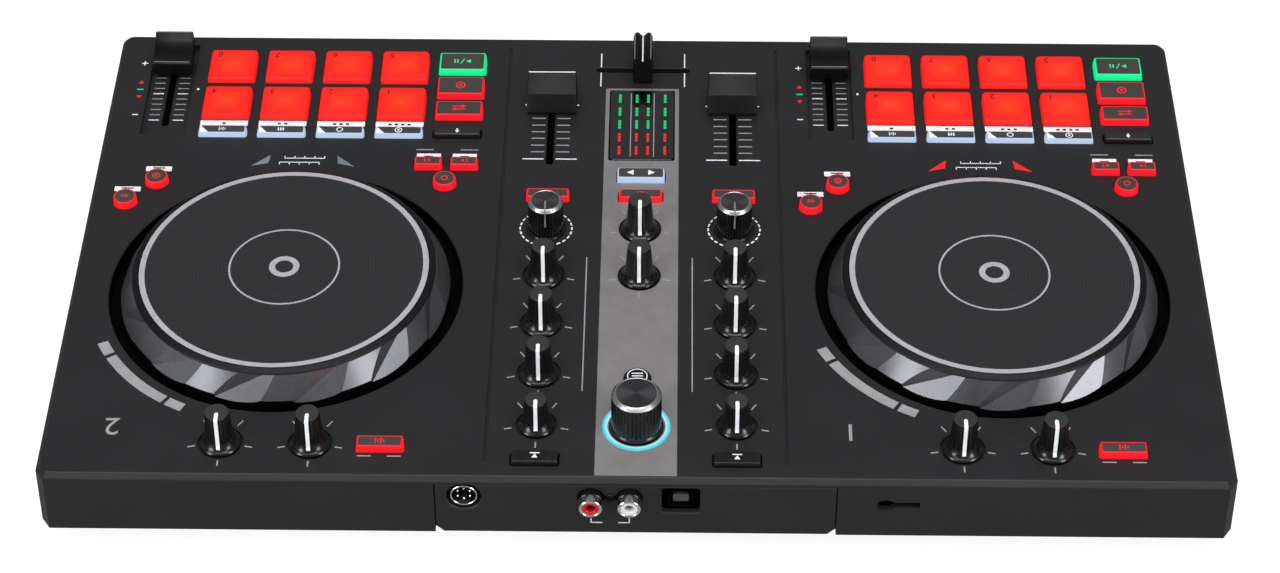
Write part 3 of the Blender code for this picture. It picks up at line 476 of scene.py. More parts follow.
def merge_turned(bm, profile, steps, finish, place=(0, 0, 0), **arc):
    """Spin a profile as a part of its own, paint it, and put it into a bigger mesh."""
    part = bmesh.new()
    lathe(part, profile, steps, **arc)
    close_holes(part)
    paint(part, finish)
    merge(bm, part, Matrix.Translation(place))


print("mesh helpers ready")

# %% [markdown]
# Cuts and joins use Blender's Boolean, whose result is read back at once, so that no cutter stays
# in the scene. Cutters that overlap each other go in separate meshes.

# %% Cutting
def scratch_object(bm, finishes):
    mesh = bpy.data.meshes.new("scratch")
    bmesh.ops.recalc_face_normals(bm, faces=bm.faces)
    bm.to_mesh(mesh)
    bm.free()
    for finish in finishes:
        mesh.materials.append(finish)
    thing = bpy.data.objects.new("scratch", mesh)
    bpy.context.scene.collection.objects.link(thing)
    return thing


def carve(bm, tools, finishes):
    """Apply (operation, cutter mesh) pairs to a mesh, in order, and return the result."""
    things = [scratch_object(bm, finishes)]
    for operation, cutter in tools:
        things.append(scratch_object(cutter, finishes))
        modifier = things[0].modifiers.new(operation, "BOOLEAN")
        modifier.operation, modifier.object, modifier.solver = operation, things[-1], "EXACT"
    view = bpy.context.evaluated_depsgraph_get()
    result = bmesh.new()
    done = bpy.data.meshes.new_from_object(things[0].evaluated_get(view), depsgraph=view)
    result.from_mesh(done)
    for mesh in [done] + [thing.data for thing in things]:
        bpy.data.meshes.remove(mesh)
    return result


print("ready to cut")

# %% [markdown]
# A finished mesh moves into the frame, its faces turn outwards, and it becomes a piece that rides
# on one body. Every piece should be closed, so its open edges are counted and printed if any.

# %% Keeping a finished piece
triangles = {}


def keep(bm, name, body, finishes, replaces=(), place=(0, 0, 0), smooth=30, glow=None):
    """Make a finished piece: put it in the frame, on its body, and hide the working parts it stands
    for.
    """
    if glow:
        layer = bm.verts.layers.float.new("glow")
        for vert in bm.verts:
            vert[layer] = glow(vert.co)
    bm.transform(TO_FRAME @ Matrix.Translation(place))
    bmesh.ops.recalc_face_normals(bm, faces=bm.faces)
    mesh = bpy.data.meshes.new(name)
    bm.to_mesh(mesh)
    loose = sum(1 for edge in bm.edges if not edge.is_manifold)
    triangles[name] = sum(len(face.verts) - 2 for face in bm.faces)
    bm.free()
    for finish in finishes:
        mesh.materials.append(finish)
    mesh.shade_smooth()
    mesh.set_sharp_from_angle(angle=radians(smooth))
    piece = bpy.data.objects.new(name, mesh)
    bpy.context.scene.collection.objects.link(piece)
    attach(piece, body)
    if replaces:
        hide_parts(*replaces)
    if loose:
        print("open edges:", name, loose)
    return piece


print("ready to make pieces")

# %% [markdown]
# ## The upper shell
# One moulding: the control panel with its side walls, two wells for the jog wheels, and two sunk
# tracks for the tempo faders. It is grown from its outline, its rim is chamfered, and everything
# that sits in it gets an opening cut with the same 0.3 mm clearance as the working model.

# %% Shell dimensions
CLEARANCE = 0.3
WALL = 2.5
PLATE = 2.0
RIM_CHAMFER, RIM_ROUND = 1.9, 0.35
FLARE = 0.5                      # each side wall leans out by this much at its lower edge
FRONT_RADIUS = 4.4
REAR_CUT = (3.0, 4.4)
WELL_DEPTH = 6.0
JOG_CLEAR = 4.3
STRIP_HALF = 13.9                # the metallic silver strip down the mixer
STRIP_FRONT = -87.9
GROOVE_X, GROOVE_Y, GROOVE_SHORT, GROOVE_DEPTH = 51.1, -0.45, 15.3, 0.6
KEY_RADIUS = 0.7

WALL_LOW = CASE_LOW.z
HALF_WIDTH = CASE_HIGH.x
JOG_R = panel_box("jog_wheel_1")[1].x - DECKS["1"].x
WELL_R = JOG_R + JOG_CLEAR
KNOBS = {node: extent(node).x / 2 for node in frame["nodes"] if "knob" in node}
print("well radius", round(WELL_R, 1), "mm,", len(KNOBS), "knobs")

# %% [markdown]
# Keys and openings share their outlines, so the outlines are planned first. A mat's box in the
# working model reaches one rim past its keys, and that gives every key's place and size.

# %% Keys and where they stand
PAD_RIM, PAD = 1.0, 18.0
ROUND_KEY = 8.8
LOOP_KEY, LOOP_HALF_GAP = (10.3, 5.2), 6.7
LOAD_KEY, HEADPHONE_KEY, GUIDE_KEY = (16.2, 6.0), (16.0, 5.4), (17.6, 6.2)
ASSISTANT_KEY = 9.0


def spread(low, high, count, size):
    """The middles of equal keys between the two ends of a mat."""
    first, last = low + PAD_RIM + size / 2, high - PAD_RIM - size / 2
    return [first + (last - first) * i / (count - 1) for i in range(count)]


class Key:
    """One key's outline on the panel: a rectangle, or a circle when depth is None."""

    def __init__(self, node, x, y, width, depth=None):
        self.node, self.x, self.y, self.width, self.depth = node, x, y, width, depth

    def face(self, bm, extra, z, radius=KEY_RADIUS):
        if self.depth is None:
            return round_face(bm, self.width / 2 + extra, self.x, self.y, z, 40)
        return rounded(bm, self.width + 2 * extra, self.depth + 2 * extra, radius + extra,
                       self.x, self.y, z)


KEYS = {}


def plan_keys(name, node, places, width, depth=None):
    KEYS[name] = [Key(node, x, y, width, depth) for x, y in places]


def plan_whole(name, node):
    """A key that fills its node's box but for the rim."""
    room = extent(node)
    plan_keys(name, node, [spot(node).xy], room.x - 2 * PAD_RIM, room.y - 2 * PAD_RIM)


print("ready to plan keys")

# %% Plan the keys
for side in DECKS:
    pads, mode, loop, slip = (f"{kind}_{side}" for kind in
                              ("pad_mat", "mode_keys", "loop_keys", "slip_keys"))
    for name in ("play", "cue", "sync", "shift"):
        plan_whole(f"{name}_key_{side}", f"{name}_key_{side}")
    low, high = panel_box(pads)
    columns, rows = spread(low.x, high.x, 4, PAD), spread(low.y, high.y, 2, PAD)
    plan_keys(f"pads_{side}", pads, [(x, y) for y in reversed(rows) for x in columns], PAD, PAD)
    plan_keys(mode, mode, [(x, spot(mode).y) for x in columns], PAD, extent(mode).y - 2 * PAD_RIM)
    low, high = panel_box(loop)
    middle = (low.x + high.x) / 2
    plan_keys(f"loop_in_out_{side}", loop,
              [(middle + sign * LOOP_HALF_GAP, low.y + PAD_RIM + LOOP_KEY[1] / 2)
               for sign in (-1, 1)], *LOOP_KEY)
    plan_keys(f"loop_on_{side}", loop, [(middle, high.y - PAD_RIM - ROUND_KEY / 2)], ROUND_KEY)
    low, high = panel_box(slip)
    inset = PAD_RIM + ROUND_KEY / 2
    plan_keys(f"slip_{side}", slip,
              [(low.x + inset, low.y + inset), (high.x - inset, high.y - inset)], ROUND_KEY)
    plan_whole(f"fx_key_{side}", f"fx_key_{side}")
MIXER = spot("filter_knob_2").x
plan_keys("load", "load_keys", [(sign * MIXER, spot("load_keys").y) for sign in (-1, 1)],
          *LOAD_KEY)
plan_keys("headphone_cue", "headphone_cue_keys",
          [(x, spot("headphone_cue_keys").y) for x in (-MIXER, 0, MIXER)], *HEADPHONE_KEY)
plan_keys("guide", "guide_key", [spot("guide_key").xy], *GUIDE_KEY)
plan_keys("assistant", "assistant_key", [spot("assistant_key").xy], ASSISTANT_KEY)
plan_whole("window", "meter_window")
print(sum(len(group) for group in KEYS.values()), "keys and windows planned")

# %% [markdown]
# Every opening is a cutter that flares near the top, because a moulded edge is never knife-sharp
# and the fine chamfer is what draws a light line round each hole.

# %% Openings in the panel
CUT_TOP = 1.0
CUT_LOW = -PLATE - 1.0
TEMPO_WELL = (16.8, 54.0, 2.0)
TEMPO_TRAVEL, CROSS_TRAVEL = 31.5, 16.0
SLOT, SLOT_RADIUS, SLOT_LIP = 2.7, 1.2, 0.15
KNOB_RECESS = 0.9
TRACKS = {side: spot(f"tempo_fader_{side}") for side in DECKS}
WELL_Y = FRONT + 6.7 + TEMPO_WELL[1] / 2
LINES = [spot("line_fader_1"), spot("line_fader_2")]
CROSS = spot("crossfader")


def opening(bm, face, low, lip=0.25):
    """A cutter that flares a little at the panel's face, which leaves a fine chamfer there."""
    solid(bm, face, [(0, -lip - low, 0), (-lip, lip, 0), (0, CUT_TOP, 0)])


panel_cuts = bmesh.new()
for group in KEYS.values():
    for key in group:
        opening(panel_cuts, key.face(panel_cuts, CLEARANCE, CUT_LOW), CUT_LOW, 0.12)
for node, radius in KNOBS.items():
    place = spot(node)
    opening(panel_cuts, round_face(panel_cuts, radius + 0.1, place.x, place.y, -KNOB_RECESS, 48),
            -KNOB_RECESS, 0.2)
for place in LINES:
    opening(panel_cuts, rounded(panel_cuts, SLOT, TEMPO_TRAVEL + 6.2, SLOT_RADIUS, place.x,
                                place.y + TEMPO_TRAVEL / 2, CUT_LOW), CUT_LOW, SLOT_LIP)
opening(panel_cuts, rounded(panel_cuts, 2 * CROSS_TRAVEL + 4.0, SLOT, SLOT_RADIUS, CROSS.x,
                            CROSS.y, CUT_LOW), CUT_LOW, SLOT_LIP)
for side, deck in DECKS.items():
    opening(panel_cuts, round_face(panel_cuts, WELL_R, deck.x, deck.y, -WELL_DEPTH, 160),
            -WELL_DEPTH, 0.3)
    track, slot = bmesh.new(), bmesh.new()
    opening(track, rounded(track, *TEMPO_WELL[:2], 0.6, TRACKS[side].x, WELL_Y, -TEMPO_WELL[2]),
            -TEMPO_WELL[2], 0.2)
    solid(slot, rounded(slot, SLOT, TEMPO_TRAVEL + 7.0, SLOT_RADIUS, TRACKS[side].x,
                        TRACKS[side].y + TEMPO_TRAVEL / 2, -6.0), [(0, 5.0, 0)])
    merge(panel_cuts, carve(track, [("UNION", slot)], [CASE]))
for sign in (-1, 1):
    opening(panel_cuts, rounded(panel_cuts, 1.0, REAR - FRONT - GROOVE_SHORT, 0.45,
                                sign * GROOVE_X, GROOVE_Y, -GROOVE_DEPTH), -GROOVE_DEPTH, 0.1)
print("panel cuts", len(panel_cuts.faces), "faces")

# %% [markdown]
# Three cuts go through the walls: the gap for the socket panel, the jack's hole in front, and the
# lock slot, a narrow bar that opens into a wider head.

# %% Cuts through the walls
insert = extent("rear_panel")
insert_top = panel_box("rear_panel")[1].z + CLEARANCE
jack = extent("headphone_socket")
jack_z = panel_box("headphone_socket")[0].z + jack.z / 2
bmesh.ops.create_cube(panel_cuts, size=1.0, matrix=Matrix.Translation(
    (0, REAR, (WALL_LOW - 1.0 + insert_top) / 2)) @ Matrix.Diagonal(
    (insert.x + 2 * CLEARANCE, 4 * WALL, insert_top - WALL_LOW + 1.0, 1)))
bmesh.ops.create_cone(panel_cuts, cap_ends=True, segments=48, radius1=jack.x / 2 + CLEARANCE,
                      radius2=jack.x / 2 + CLEARANCE, depth=3 * WALL,
                      matrix=Matrix.Translation((spot("headphone_socket").x, FRONT, jack_z))
                      @ Matrix.Rotation(pi / 2, 4, "X"))
LOCK = (-88.8, -11.0)
LOCK_OUTLINE = ((-7.2, -1.4), (1.6, -1.4), (2.8, -2.4), (5.6, -2.4), (7.2, -1.6),
                (7.2, 1.6), (5.6, 2.4), (2.8, 2.4), (1.6, 1.4), (-7.2, 1.4))
lock = bmesh.new()
solid(lock, flat(lock, LOCK_OUTLINE, -2 * WALL), [(0, 4 * WALL, 0)])
merge(panel_cuts, lock,
      Matrix.Translation((LOCK[0], REAR, LOCK[1])) @ Matrix.Rotation(-pi / 2, 4, "X"))
print("all cuts", len(panel_cuts.faces), "faces")

# %% [markdown]
# The case has round corners in front and cut corners at the rear, and its walls lean out slightly
# so that it leaves the mould. A wide chamfer runs round the rim, with both its edges rounded.

# %% Grow and chamfer the shell
def case_face(bm, inset, z):
    """The case's outline as one face: round corners in front, cut corners at the rear."""
    w, d = HALF_WIDTH - inset, REAR - inset
    cut_x, cut_y = (c * max(0.3, 1 - inset / 8.8) for c in REAR_CUT)
    face = flat(bm, [(-w, -d), (w, -d), (w, d - cut_y), (w - cut_x, d), (-w + cut_x, d),
                     (-w, d - cut_y)], z)
    corners = [v for v in face.verts if v.co.y < 0]
    bevel(bm, corners, max(1.0, FRONT_RADIUS - inset), "VERTICES", 8)
    return max(bm.faces, key=lambda f: f.calc_area())


shell = bmesh.new()
top = grow(shell, case_face(shell, 0, WALL_LOW), [(0, -WALL_LOW, 0)])
for corner in top.verts:
    corner.co.x *= (HALF_WIDTH - FLARE) / HALF_WIDTH
close_holes(shell)
bmesh.ops.recalc_face_normals(shell, faces=shell.faces)
rim = [edge for edge in shell.edges if all(v.co.z > -0.01 for v in edge.verts)]
bevel(shell, rim, RIM_CHAMFER, "EDGES")
rim = [edge for edge in shell.edges if all(v.co.z > -RIM_CHAMFER - 0.01 for v in edge.verts)
       and edge.is_manifold and edge.calc_face_angle() > radians(30)
       and abs(edge.verts[0].co.z - edge.verts[1].co.z) < 0.01]
bevel(shell, rim, RIM_ROUND, "EDGES", 2)
print("shell blank", len(shell.faces), "faces")

# %% [markdown]
# The silver strip is ink on the same moulding, so the top face is split along its border and the
# faces inside it get the ink. The hollow and all openings are then cut in one pass, with cups left
# standing round the wells.

# %% Paint and cut the shell
for axis, where in (((1, 0, 0), STRIP_HALF), ((1, 0, 0), -STRIP_HALF), ((0, 1, 0), STRIP_FRONT)):
    face_set = shell.verts[:] + shell.edges[:] + shell.faces[:]
    bmesh.ops.bisect_plane(shell, geom=face_set, plane_co=Vector(axis) * where, plane_no=axis)
paint(shell, 1, lambda c: abs(c.x) < STRIP_HALF and c.y > STRIP_FRONT and c.z > -0.01)

hollow = bmesh.new()
solid(hollow, case_face(hollow, WALL, WALL_LOW - 1.0), [(0, -WALL_LOW + 1.0 - PLATE, 0)])
cups = bmesh.new()
for side, deck in DECKS.items():
    grow(cups, round_face(cups, WELL_R + PLATE, deck.x, deck.y, -WELL_DEPTH - PLATE, 96),
         [(0, WELL_DEPTH + PLATE / 2, 0)])
    grow(cups, rounded(cups, TEMPO_WELL[0] + 3, TEMPO_WELL[1] + 3, 1.5, TRACKS[side].x, WELL_Y,
                       -TEMPO_WELL[2] - PLATE), [(0, TEMPO_WELL[2] + PLATE / 2, 0)])
close_holes(cups)
shell = carve(shell, [("DIFFERENCE", hollow), ("UNION", cups), ("DIFFERENCE", panel_cuts)],
              [CASE, SILVER_INK_AND_HIGHLIGHT, SHADE_AND_DARK_INK])
# Painted shade: the walls and floors of the jog wells are near-black
paint(shell, 2, lambda c: c.z < -0.35 and any((c.xy - deck.xy).length < WELL_R + 0.1
                                              for deck in DECKS.values()))
keep(shell, "upper_shell", "chassis", [CASE, SILVER_INK_AND_HIGHLIGHT, SHADE_AND_DARK_INK], ["top_shell"],
     smooth=12)
print("upper shell", triangles["upper_shell"], "triangles")

# %% [markdown]
# ## Jog wheels
# The wheel is a metallic lacquered skirt with thirteen finger notches under a black platter. Each
# notch is a valley between two planes, so it is cut the way it would be machined: with a wedge
# whose edge is the valley's crease. The crease climbs from the skirt's foot to its top over 16
# degrees; one flank of the wedge is wide and leans back to the light, the other is narrow and dark.

# %% Jog dimensions
JOG_H = panel_box("jog_wheel_1")[1].z
SKIRT_LOW, SKIRT_HIGH = 0.5, JOG_H - 1.4
SKIRT_TOP_R = JOG_R - 4.6
NOTCHES = 13
CREASE_SPAN = radians(16)
WIDE, NARROW = radians(15), radians(6)
CREASE_DEPTH, CREASE_OVERRUN = 0.75, 4.0
WEDGE_REACH, WEDGE_OUT = 8.5, 6
FIRST_CREASE = {"1": radians(28.4), "2": radians(44.4)}
print("skirt", round(SKIRT_HIGH - SKIRT_LOW, 1), "mm tall,", NOTCHES, "notches")

# %% Cut the skirts
def on_skirt(angle, share, inward=0.0):
    """A point on the skirt's cone, from foot (0) to top (1)."""
    r = JOG_R + (SKIRT_TOP_R - JOG_R) * share - inward
    return Vector((r * cos(angle), r * sin(angle), SKIRT_LOW + (SKIRT_HIGH - SKIRT_LOW) * share))


def notch(angle):
    """The wedge that cuts one notch, with a little over each end of the crease."""
    foot = on_skirt(angle, 0, CREASE_DEPTH)
    head = on_skirt(angle + CREASE_SPAN, 1, CREASE_DEPTH)
    crease = (head - foot).normalized()
    outward = (foot + head).normalized() * WEDGE_OUT
    corners = []
    for end, over in ((foot, -CREASE_OVERRUN), (head, CREASE_OVERRUN)):
        end = end + crease * over
        corners += [end, end + outward]
        for target in (on_skirt(angle + WIDE, 0), on_skirt(angle + NARROW, 1)):
            reach = target - foot
            reach -= crease * reach.dot(crease)
            corners.append(end + reach.normalized() * WEDGE_REACH)
    wedge = bmesh.new()
    bmesh.ops.convex_hull(wedge, input=[wedge.verts.new(corner) for corner in corners])
    return wedge


def jog_skirt(side):
    body = bmesh.new()
    floor = -WELL_DEPTH + 0.6
    lathe(body, [(0, floor), (JOG_R - 3, floor), (JOG_R, floor + 1.6), (JOG_R, SKIRT_LOW - 0.4),
                 (JOG_R - 0.1, SKIRT_LOW), (SKIRT_TOP_R, SKIRT_HIGH), (0, SKIRT_HIGH)],
          16 * NOTCHES)
    # Wedges that are neighbours overlap, so they go in turn into separate cutters
    groups = [bmesh.new() for i in range(3)]
    for i in range(NOTCHES):
        group = groups[2 if i == NOTCHES - 1 else i % 2]
        merge(group, notch(FIRST_CREASE[side] + tau * i / NOTCHES))
    skirt = carve(body, [("DIFFERENCE", group) for group in groups], [SKIRT, SHADE_AND_DARK_INK])
    # Painted shade: the part of the wheel below the skirt, down in the well, is near-black
    for face in skirt.faces:
        if max(v.co.z for v in face.verts) < SKIRT_LOW + 0.05:
            face.material_index = 1
    keep(skirt, f"jog_skirt_{side}", f"jog_wheel_{side}", [SKIRT, SHADE_AND_DARK_INK],
         [f"jog_wheel_{side}"], DECKS[side], smooth=4)


for side in DECKS:
    jog_skirt(side)
print("skirts:", triangles["jog_skirt_1"], "triangles each")

# %% [markdown]
# The platter is turned: a shoulder in lacquer painted darker as shade, a thin groove painted black
# as shade, then a flat face with fine concentric rings. On it are pad-printed rings in light grey,
# which are thin raised films here.

# %% Platter and printed rings
RING_WAVE = 0.314                # a ring wave of scale 1 repeats every 0.314
RINGS = ((49.3, 51.3), (19.1, 19.8), (3.2, 5.4))     # inner and outer radius


def turned_face(side, mark=1.2):
    """ABS with concentric turning marks; real ones are near 0.3 mm apart, too fine to show."""
    finish = moulded(f"turned_ABS_platter_{side}", ("#1a1a1b", "#1e1e1f"), 0.42, depth=0.004)
    tree, shader = finish.node_tree, finish.node_tree.nodes["Principled BSDF"]
    place = add(tree, "ShaderNodeTexCoord").outputs["Object"]
    centred = add(tree, "ShaderNodeMapping", {"Vector": place,
                                              "Location": -(TO_FRAME @ DECKS[side])})
    marks = add(tree, "ShaderNodeTexWave", {"Vector": centred.outputs["Vector"],
                "Scale": RING_WAVE / mark / MM}, wave_type="RINGS", rings_direction="Z")
    bump = add(tree, "ShaderNodeBump", {"Height": marks.outputs["Fac"], "Distance": 0.05 * MM,
                                        "Strength": 0.7})
    tree.links.new(bump.outputs["Normal"], shader.inputs["Normal"])
    uneven = add(tree, "ShaderNodeTexNoise", {"Vector": place, "Scale": 1 / (9 * MM),
                                              "Detail": 3.0})
    level = add(tree, "ShaderNodeMath", {0: marks.outputs["Fac"], 1: uneven.outputs["Fac"]},
                operation="MULTIPLY")
    shade = add(tree, "ShaderNodeValToRGB", {"Fac": level.outputs["Value"]})
    set_stops(shade, ("#18181a", "#29292b"))
    tree.links.new(shade.outputs["Color"], shader.inputs["Base Color"])
    return finish


def platter(side):
    face_finish = turned_face(side)
    body = bmesh.new()
    top, r = JOG_H - 0.12, SKIRT_TOP_R
    lathe(body, [(0, SKIRT_HIGH), (r - 0.15, SKIRT_HIGH), (r - 0.15, SKIRT_HIGH + 0.2),
                 (r - 0.5, SKIRT_HIGH + 0.6), (r - 2.2, top), (r - 2.4, top), (r - 2.4, top - 0.5),
                 (r - 2.6, top - 0.5), (r - 2.6, top), (0, top)], 192)
    # Painted shade: the shoulder band takes the darkened lacquer
    paint(body, 1, lambda c: c.xy.length > r - 2.35)
    # Painted shade: the groove's walls and floor are near-black
    paint(body, 2, lambda c: c.z < top - 0.1 and c.xy.length < r - 2.35)
    keep(body, f"jog_platter_{side}", f"jog_wheel_{side}", [face_finish, SHOULDER_PAINTED_SHADE, SHADE_AND_DARK_INK], (),
         DECKS[side], smooth=20)
    rings = bmesh.new()
    for inner, outer in RINGS:
        lathe(rings, [(inner, top - 0.05), (outer, top - 0.05), (outer, top + 0.05),
                      (inner, top + 0.05)], 160, closed=True)
    keep(rings, f"jog_printed_rings_{side}", f"jog_wheel_{side}", [RING_INK], (),
         DECKS[side])


for side in DECKS:
    platter(side)
print("platters:", triangles["jog_platter_1"], "triangles each")

# %% [markdown]
# ## Keys
# A lit key is a clear moulding with drafted flanks, sprayed dark on top, with its symbol etched out
# of the spray. Words are left off: every symbol here is a plain shape of bars, rings and triangles.

# %% Bars, discs and hoops
INK = 0.05                       # how far a printed or etched shape stands above its surface


def bar(bm, x, y, width, depth, top, finish, turn=0.0, sink=0.05):
    """A thin bar lying on a surface at height top."""
    paint_made(bmesh.ops.create_cube(
        bm, size=1.0, matrix=Matrix.Translation((x, y, top + (INK - sink) / 2))
        @ Matrix.Rotation(turn, 4, "Z") @ Matrix.Diagonal((width, depth, INK + sink, 1))), finish)


def disc(bm, x, y, radius, top, finish, sides=24, turn=0.0):
    """A thin disc, or with three sides a triangle that points along turn."""
    paint_made(bmesh.ops.create_cone(
        bm, cap_ends=True, segments=sides, radius1=radius, radius2=radius, depth=INK + 0.05,
        matrix=Matrix.Translation((x, y, top)) @ Matrix.Rotation(turn - pi / 2, 4, "Z")), finish)


def hoop(bm, x, y, outer, inner, top, finish, sweep=tau, steps=28):
    """A thin ring, or the part of one from +X round to sweep."""
    merge_turned(bm, [(inner, top - 0.05), (outer, top - 0.05), (outer, top + INK),
                      (inner, top + INK)], steps, finish, (x, y, 0), closed=True, sweep=sweep)


print("bars, discs and hoops ready")

# %% [markdown]
# A sign is a short list of strokes, each with its place from the key's middle in millimetres. A bar
# then has its width, depth and turn; an arrowhead its size and turn; a hoop its outer and inner
# radius, its sweep and its steps; a dot its radius.

# %% Signs
STROKES = {
    "play": [("arrow", -2.3, 0, 1.1, 0), ("bar", 0, 0, 0.32, 2.8, -25),
             ("bar", 1.7, 0, 0.45, 1.9, 0), ("bar", 2.7, 0, 0.45, 1.9, 0)],
    "ring": [("hoop", 0, 0, 1.5, 1.05, 360, 28)],
    "target": [("hoop", 0, 0, 1.7, 1.25, 360, 28), ("dot", 0, 0, 0.55)],
    "sync": [("bar", 0.6, -0.75, 3.4, 0.42, 0), ("arrow", -1.5, -0.75, 0.95, 180),
             ("bar", -0.6, 0.75, 3.4, 0.42, 0), ("arrow", 1.5, 0.75, 0.95, 0)],
    "up": [("arrow", 0, 0.5, 1.1, 90), ("bar", 0, -0.75, 0.7, 1.1, 0)],
    "load": [("arrow", 0, 0.3, 1.1, -90), ("bar", 0, -1.15, 3.0, 0.4, 0)],
    "in": [("bar", -1.3, 0, 0.42, 2.2, 0), ("arrow", 0.5, 0, 1.0, 0)],
    "out": [("bar", 1.3, 0, 0.42, 2.2, 0), ("arrow", -0.5, 0, 1.0, 180)],
    "wave": [("bar", -1.275, 0, 0.38, 1.2, 0), ("bar", -0.425, 0, 0.38, 2.3, 0),
             ("bar", 0.425, 0, 0.38, 1.2, 0), ("bar", 1.275, 0, 0.38, 2.3, 0)],
    "bars": [("bar", x, 0, 0.6, 1.9, 0) for x in (-1.1, 0, 1.1)],
    "phones": [("hoop", 0, -0.2, 1.7, 1.3, 180, 14), ("bar", -1.5, -0.7, 0.75, 1.4, 0),
               ("bar", 1.5, -0.7, 0.75, 1.4, 0)],
    "lines": [("bar", 0, y, 4.6, 0.5, 0) for y in (-1.5, 0, 1.5)]
             + [("hoop", 0, 0, 4.2, 3.8, 360, 28)],
    "pair": [("arrow", -3.2, 0, 1.5, 180), ("arrow", 3.2, 0, 1.5, 0)],
}


def draw_sign(bm, kind, key, top, finish, scale):
    """The plain sign on a key, seen upright by the player at -Y."""
    for shape, across, up, size, *more in STROKES[kind]:
        x, y = key.x + across * scale, key.y + up * scale
        if shape == "bar":
            bar(bm, x, y, size * scale, more[0] * scale, top, finish, radians(more[1]))
        elif shape == "hoop":
            hoop(bm, x, y, size * scale, more[0] * scale, top, finish, radians(more[1]), more[2])
        elif shape == "dot":
            disc(bm, x, y, size * scale, top, finish)
        else:
            disc(bm, x, y, size * scale, top, finish, 3, radians(more[0]))


print(len(STROKES), "signs ready")

# %% [markdown]
# All keys are made by one function. It starts under the panel, comes up through its opening, leans
# inwards, rounds over at the rim and ends in the sprayed top. On a pad, the LED's glow is strongest
# over its middle.

# %% Key bodies
LIT, TOP, SIGN = 0, 1, 2
NECK = -PLATE - CLEARANCE - 0.6


def lit_key(bm, key, height, lean=0.30, rim=0.30, radius=KEY_RADIUS):
    """A drafted clear body with a dark sprayed top. Returns the top's height."""
    face = key.face(bm, 0.0, NECK, radius)
    face.material_index = TOP
    round_off = 0.22
    grow(bm, face, [(0, 0.2 - NECK, LIT), (lean, height - 0.2 - round_off, LIT),
                    (0.06, 0.12, LIT), (0.14, 0.10, LIT), (rim, 0.0, LIT), (0.05, 0.05, TOP)])
    return height + 0.05


print("keys start", round(-NECK, 1), "mm under the panel's face")

# %% [markdown]
# What differs from key to key goes in tables: how far it stands up, its signs, its lens and the
# colour slot it shares. Keys that aren't lit from below are black with a white printed sign.

# %% What each key carries
HEIGHTS = {"play": 2.4, "cue": 2.4, "sync": 2.4, "shift": 1.8, "mode": 1.8, "loop": 2.4,
           "slip": 2.4, "fx": 2.4, "load": 1.7, "headphone": 2.0, "guide": 2.2,
           "assistant": 1.1, "pads": 1.9}
SIGNS = {"play": ["play"], "cue": ["target"], "sync": ["sync"], "shift": ["up"],
         "mode": ["target", "ring", "bars", "wave"], "loop_in": ["in", "out"],
         "loop_on": ["ring"], "slip": ["target", "wave"], "fx": ["wave"],
         "load": ["load", "load"], "headphone": ["phones", "bars", "phones"],
         "guide": ["pair"], "assistant": ["lines"]}
BLACK = ("shift", "load", "assistant")
ICE = ("mode", "guide")
LENSES = {"play": (LIT_GREEN, "key_green"), **{kind: (GLOSS, "key_black") for kind in BLACK},
          **{kind: (LIT_ICE, "key_ice") for kind in ICE}}
print(len(HEIGHTS), "kinds of key")

# %% Key pieces
MODE_CORNER = ((8.3, -1.9), (8.3, 1.9), (5.2, 1.9))     # the white corner on a mode key


def make_keys(names, piece):
    """Keys that share one mat or stand alone, with their signs, as one piece."""
    bm = bmesh.new()
    kind = names[0].split("_")[0]
    printed_sign = kind in BLACK + ICE
    for name in names:
        signs = SIGNS.get("_".join(name.split("_")[:2]), SIGNS.get(kind))
        for key, which in zip(KEYS[name], signs):
            small = 0.85 if key.depth is None or key.depth < 5.5 else 1.1
            top = lit_key(bm, key, HEIGHTS[kind], rim=0.12 if printed_sign else 0.30)
            draw_sign(bm, which, key, top, SIGN, small)
            if kind == "mode":
                corner = [(key.x + x, key.y + y) for x, y in MODE_CORNER]
                grow(bm, flat(bm, corner, top - 0.02, SIGN), [(0, 0.06, SIGN)])
    close_holes(bm)
    node = KEYS[names[0]][0].node
    lens, colour_slot = LENSES.get(kind, (LIT_RED, "key_red"))
    keep(bm, piece, node, [lens, GLOSS if kind in BLACK else KEY_TOP,
                           WHITE_INK if printed_sign else lens], [node])


print("key maker ready")

# %% [markdown]
# Pads are one soft moulding each, with a small numeral in a corner. Their tops are inset a few
# times and poked, so that there are vertices enough to carry the glow from the middle outwards.

# %% Numerals and pads
PAD_TOP = HEIGHTS["pads"]
NUMERAL_AT, NUMERAL_SIZE = (5.2, -5.8), 4.0
DIGIT_INK = printed("screen_ink_dark_red", ("#4a0608", "#560a0c"), 0.6)


def digit(bm, text, x, y, size, top, finish):
    """A plain numeral as a thin film, upright for the player."""
    curve = bpy.data.curves.new("numeral", "FONT")
    curve.body, curve.size, curve.extrude = text, size, INK / 2
    curve.align_x, curve.align_y = "CENTER", "CENTER"
    thing = bpy.data.objects.new("numeral", curve)
    mesh = bpy.data.meshes.new_from_object(thing)
    part = bmesh.new()
    part.from_mesh(mesh)
    bmesh.ops.remove_doubles(part, verts=part.verts, dist=1e-4)
    bpy.data.objects.remove(thing)
    bpy.data.curves.remove(curve)
    bpy.data.meshes.remove(mesh)
    paint(part, finish)
    merge(bm, part, Matrix.Translation((x, y, top + INK / 2)))


def pad_glow(key_list):
    """1 over the middle of the nearest pad, falling to 0 at its edge."""
    def value(co):
        near = min(key_list, key=lambda key: (co.xy - Vector((key.x, key.y))).length)
        away = (co.xy - Vector((near.x, near.y))).length / (PAD / 2)
        return max(0.0, 1.0 - away) if co.z > PAD_TOP - 0.6 else 0.0
    return value


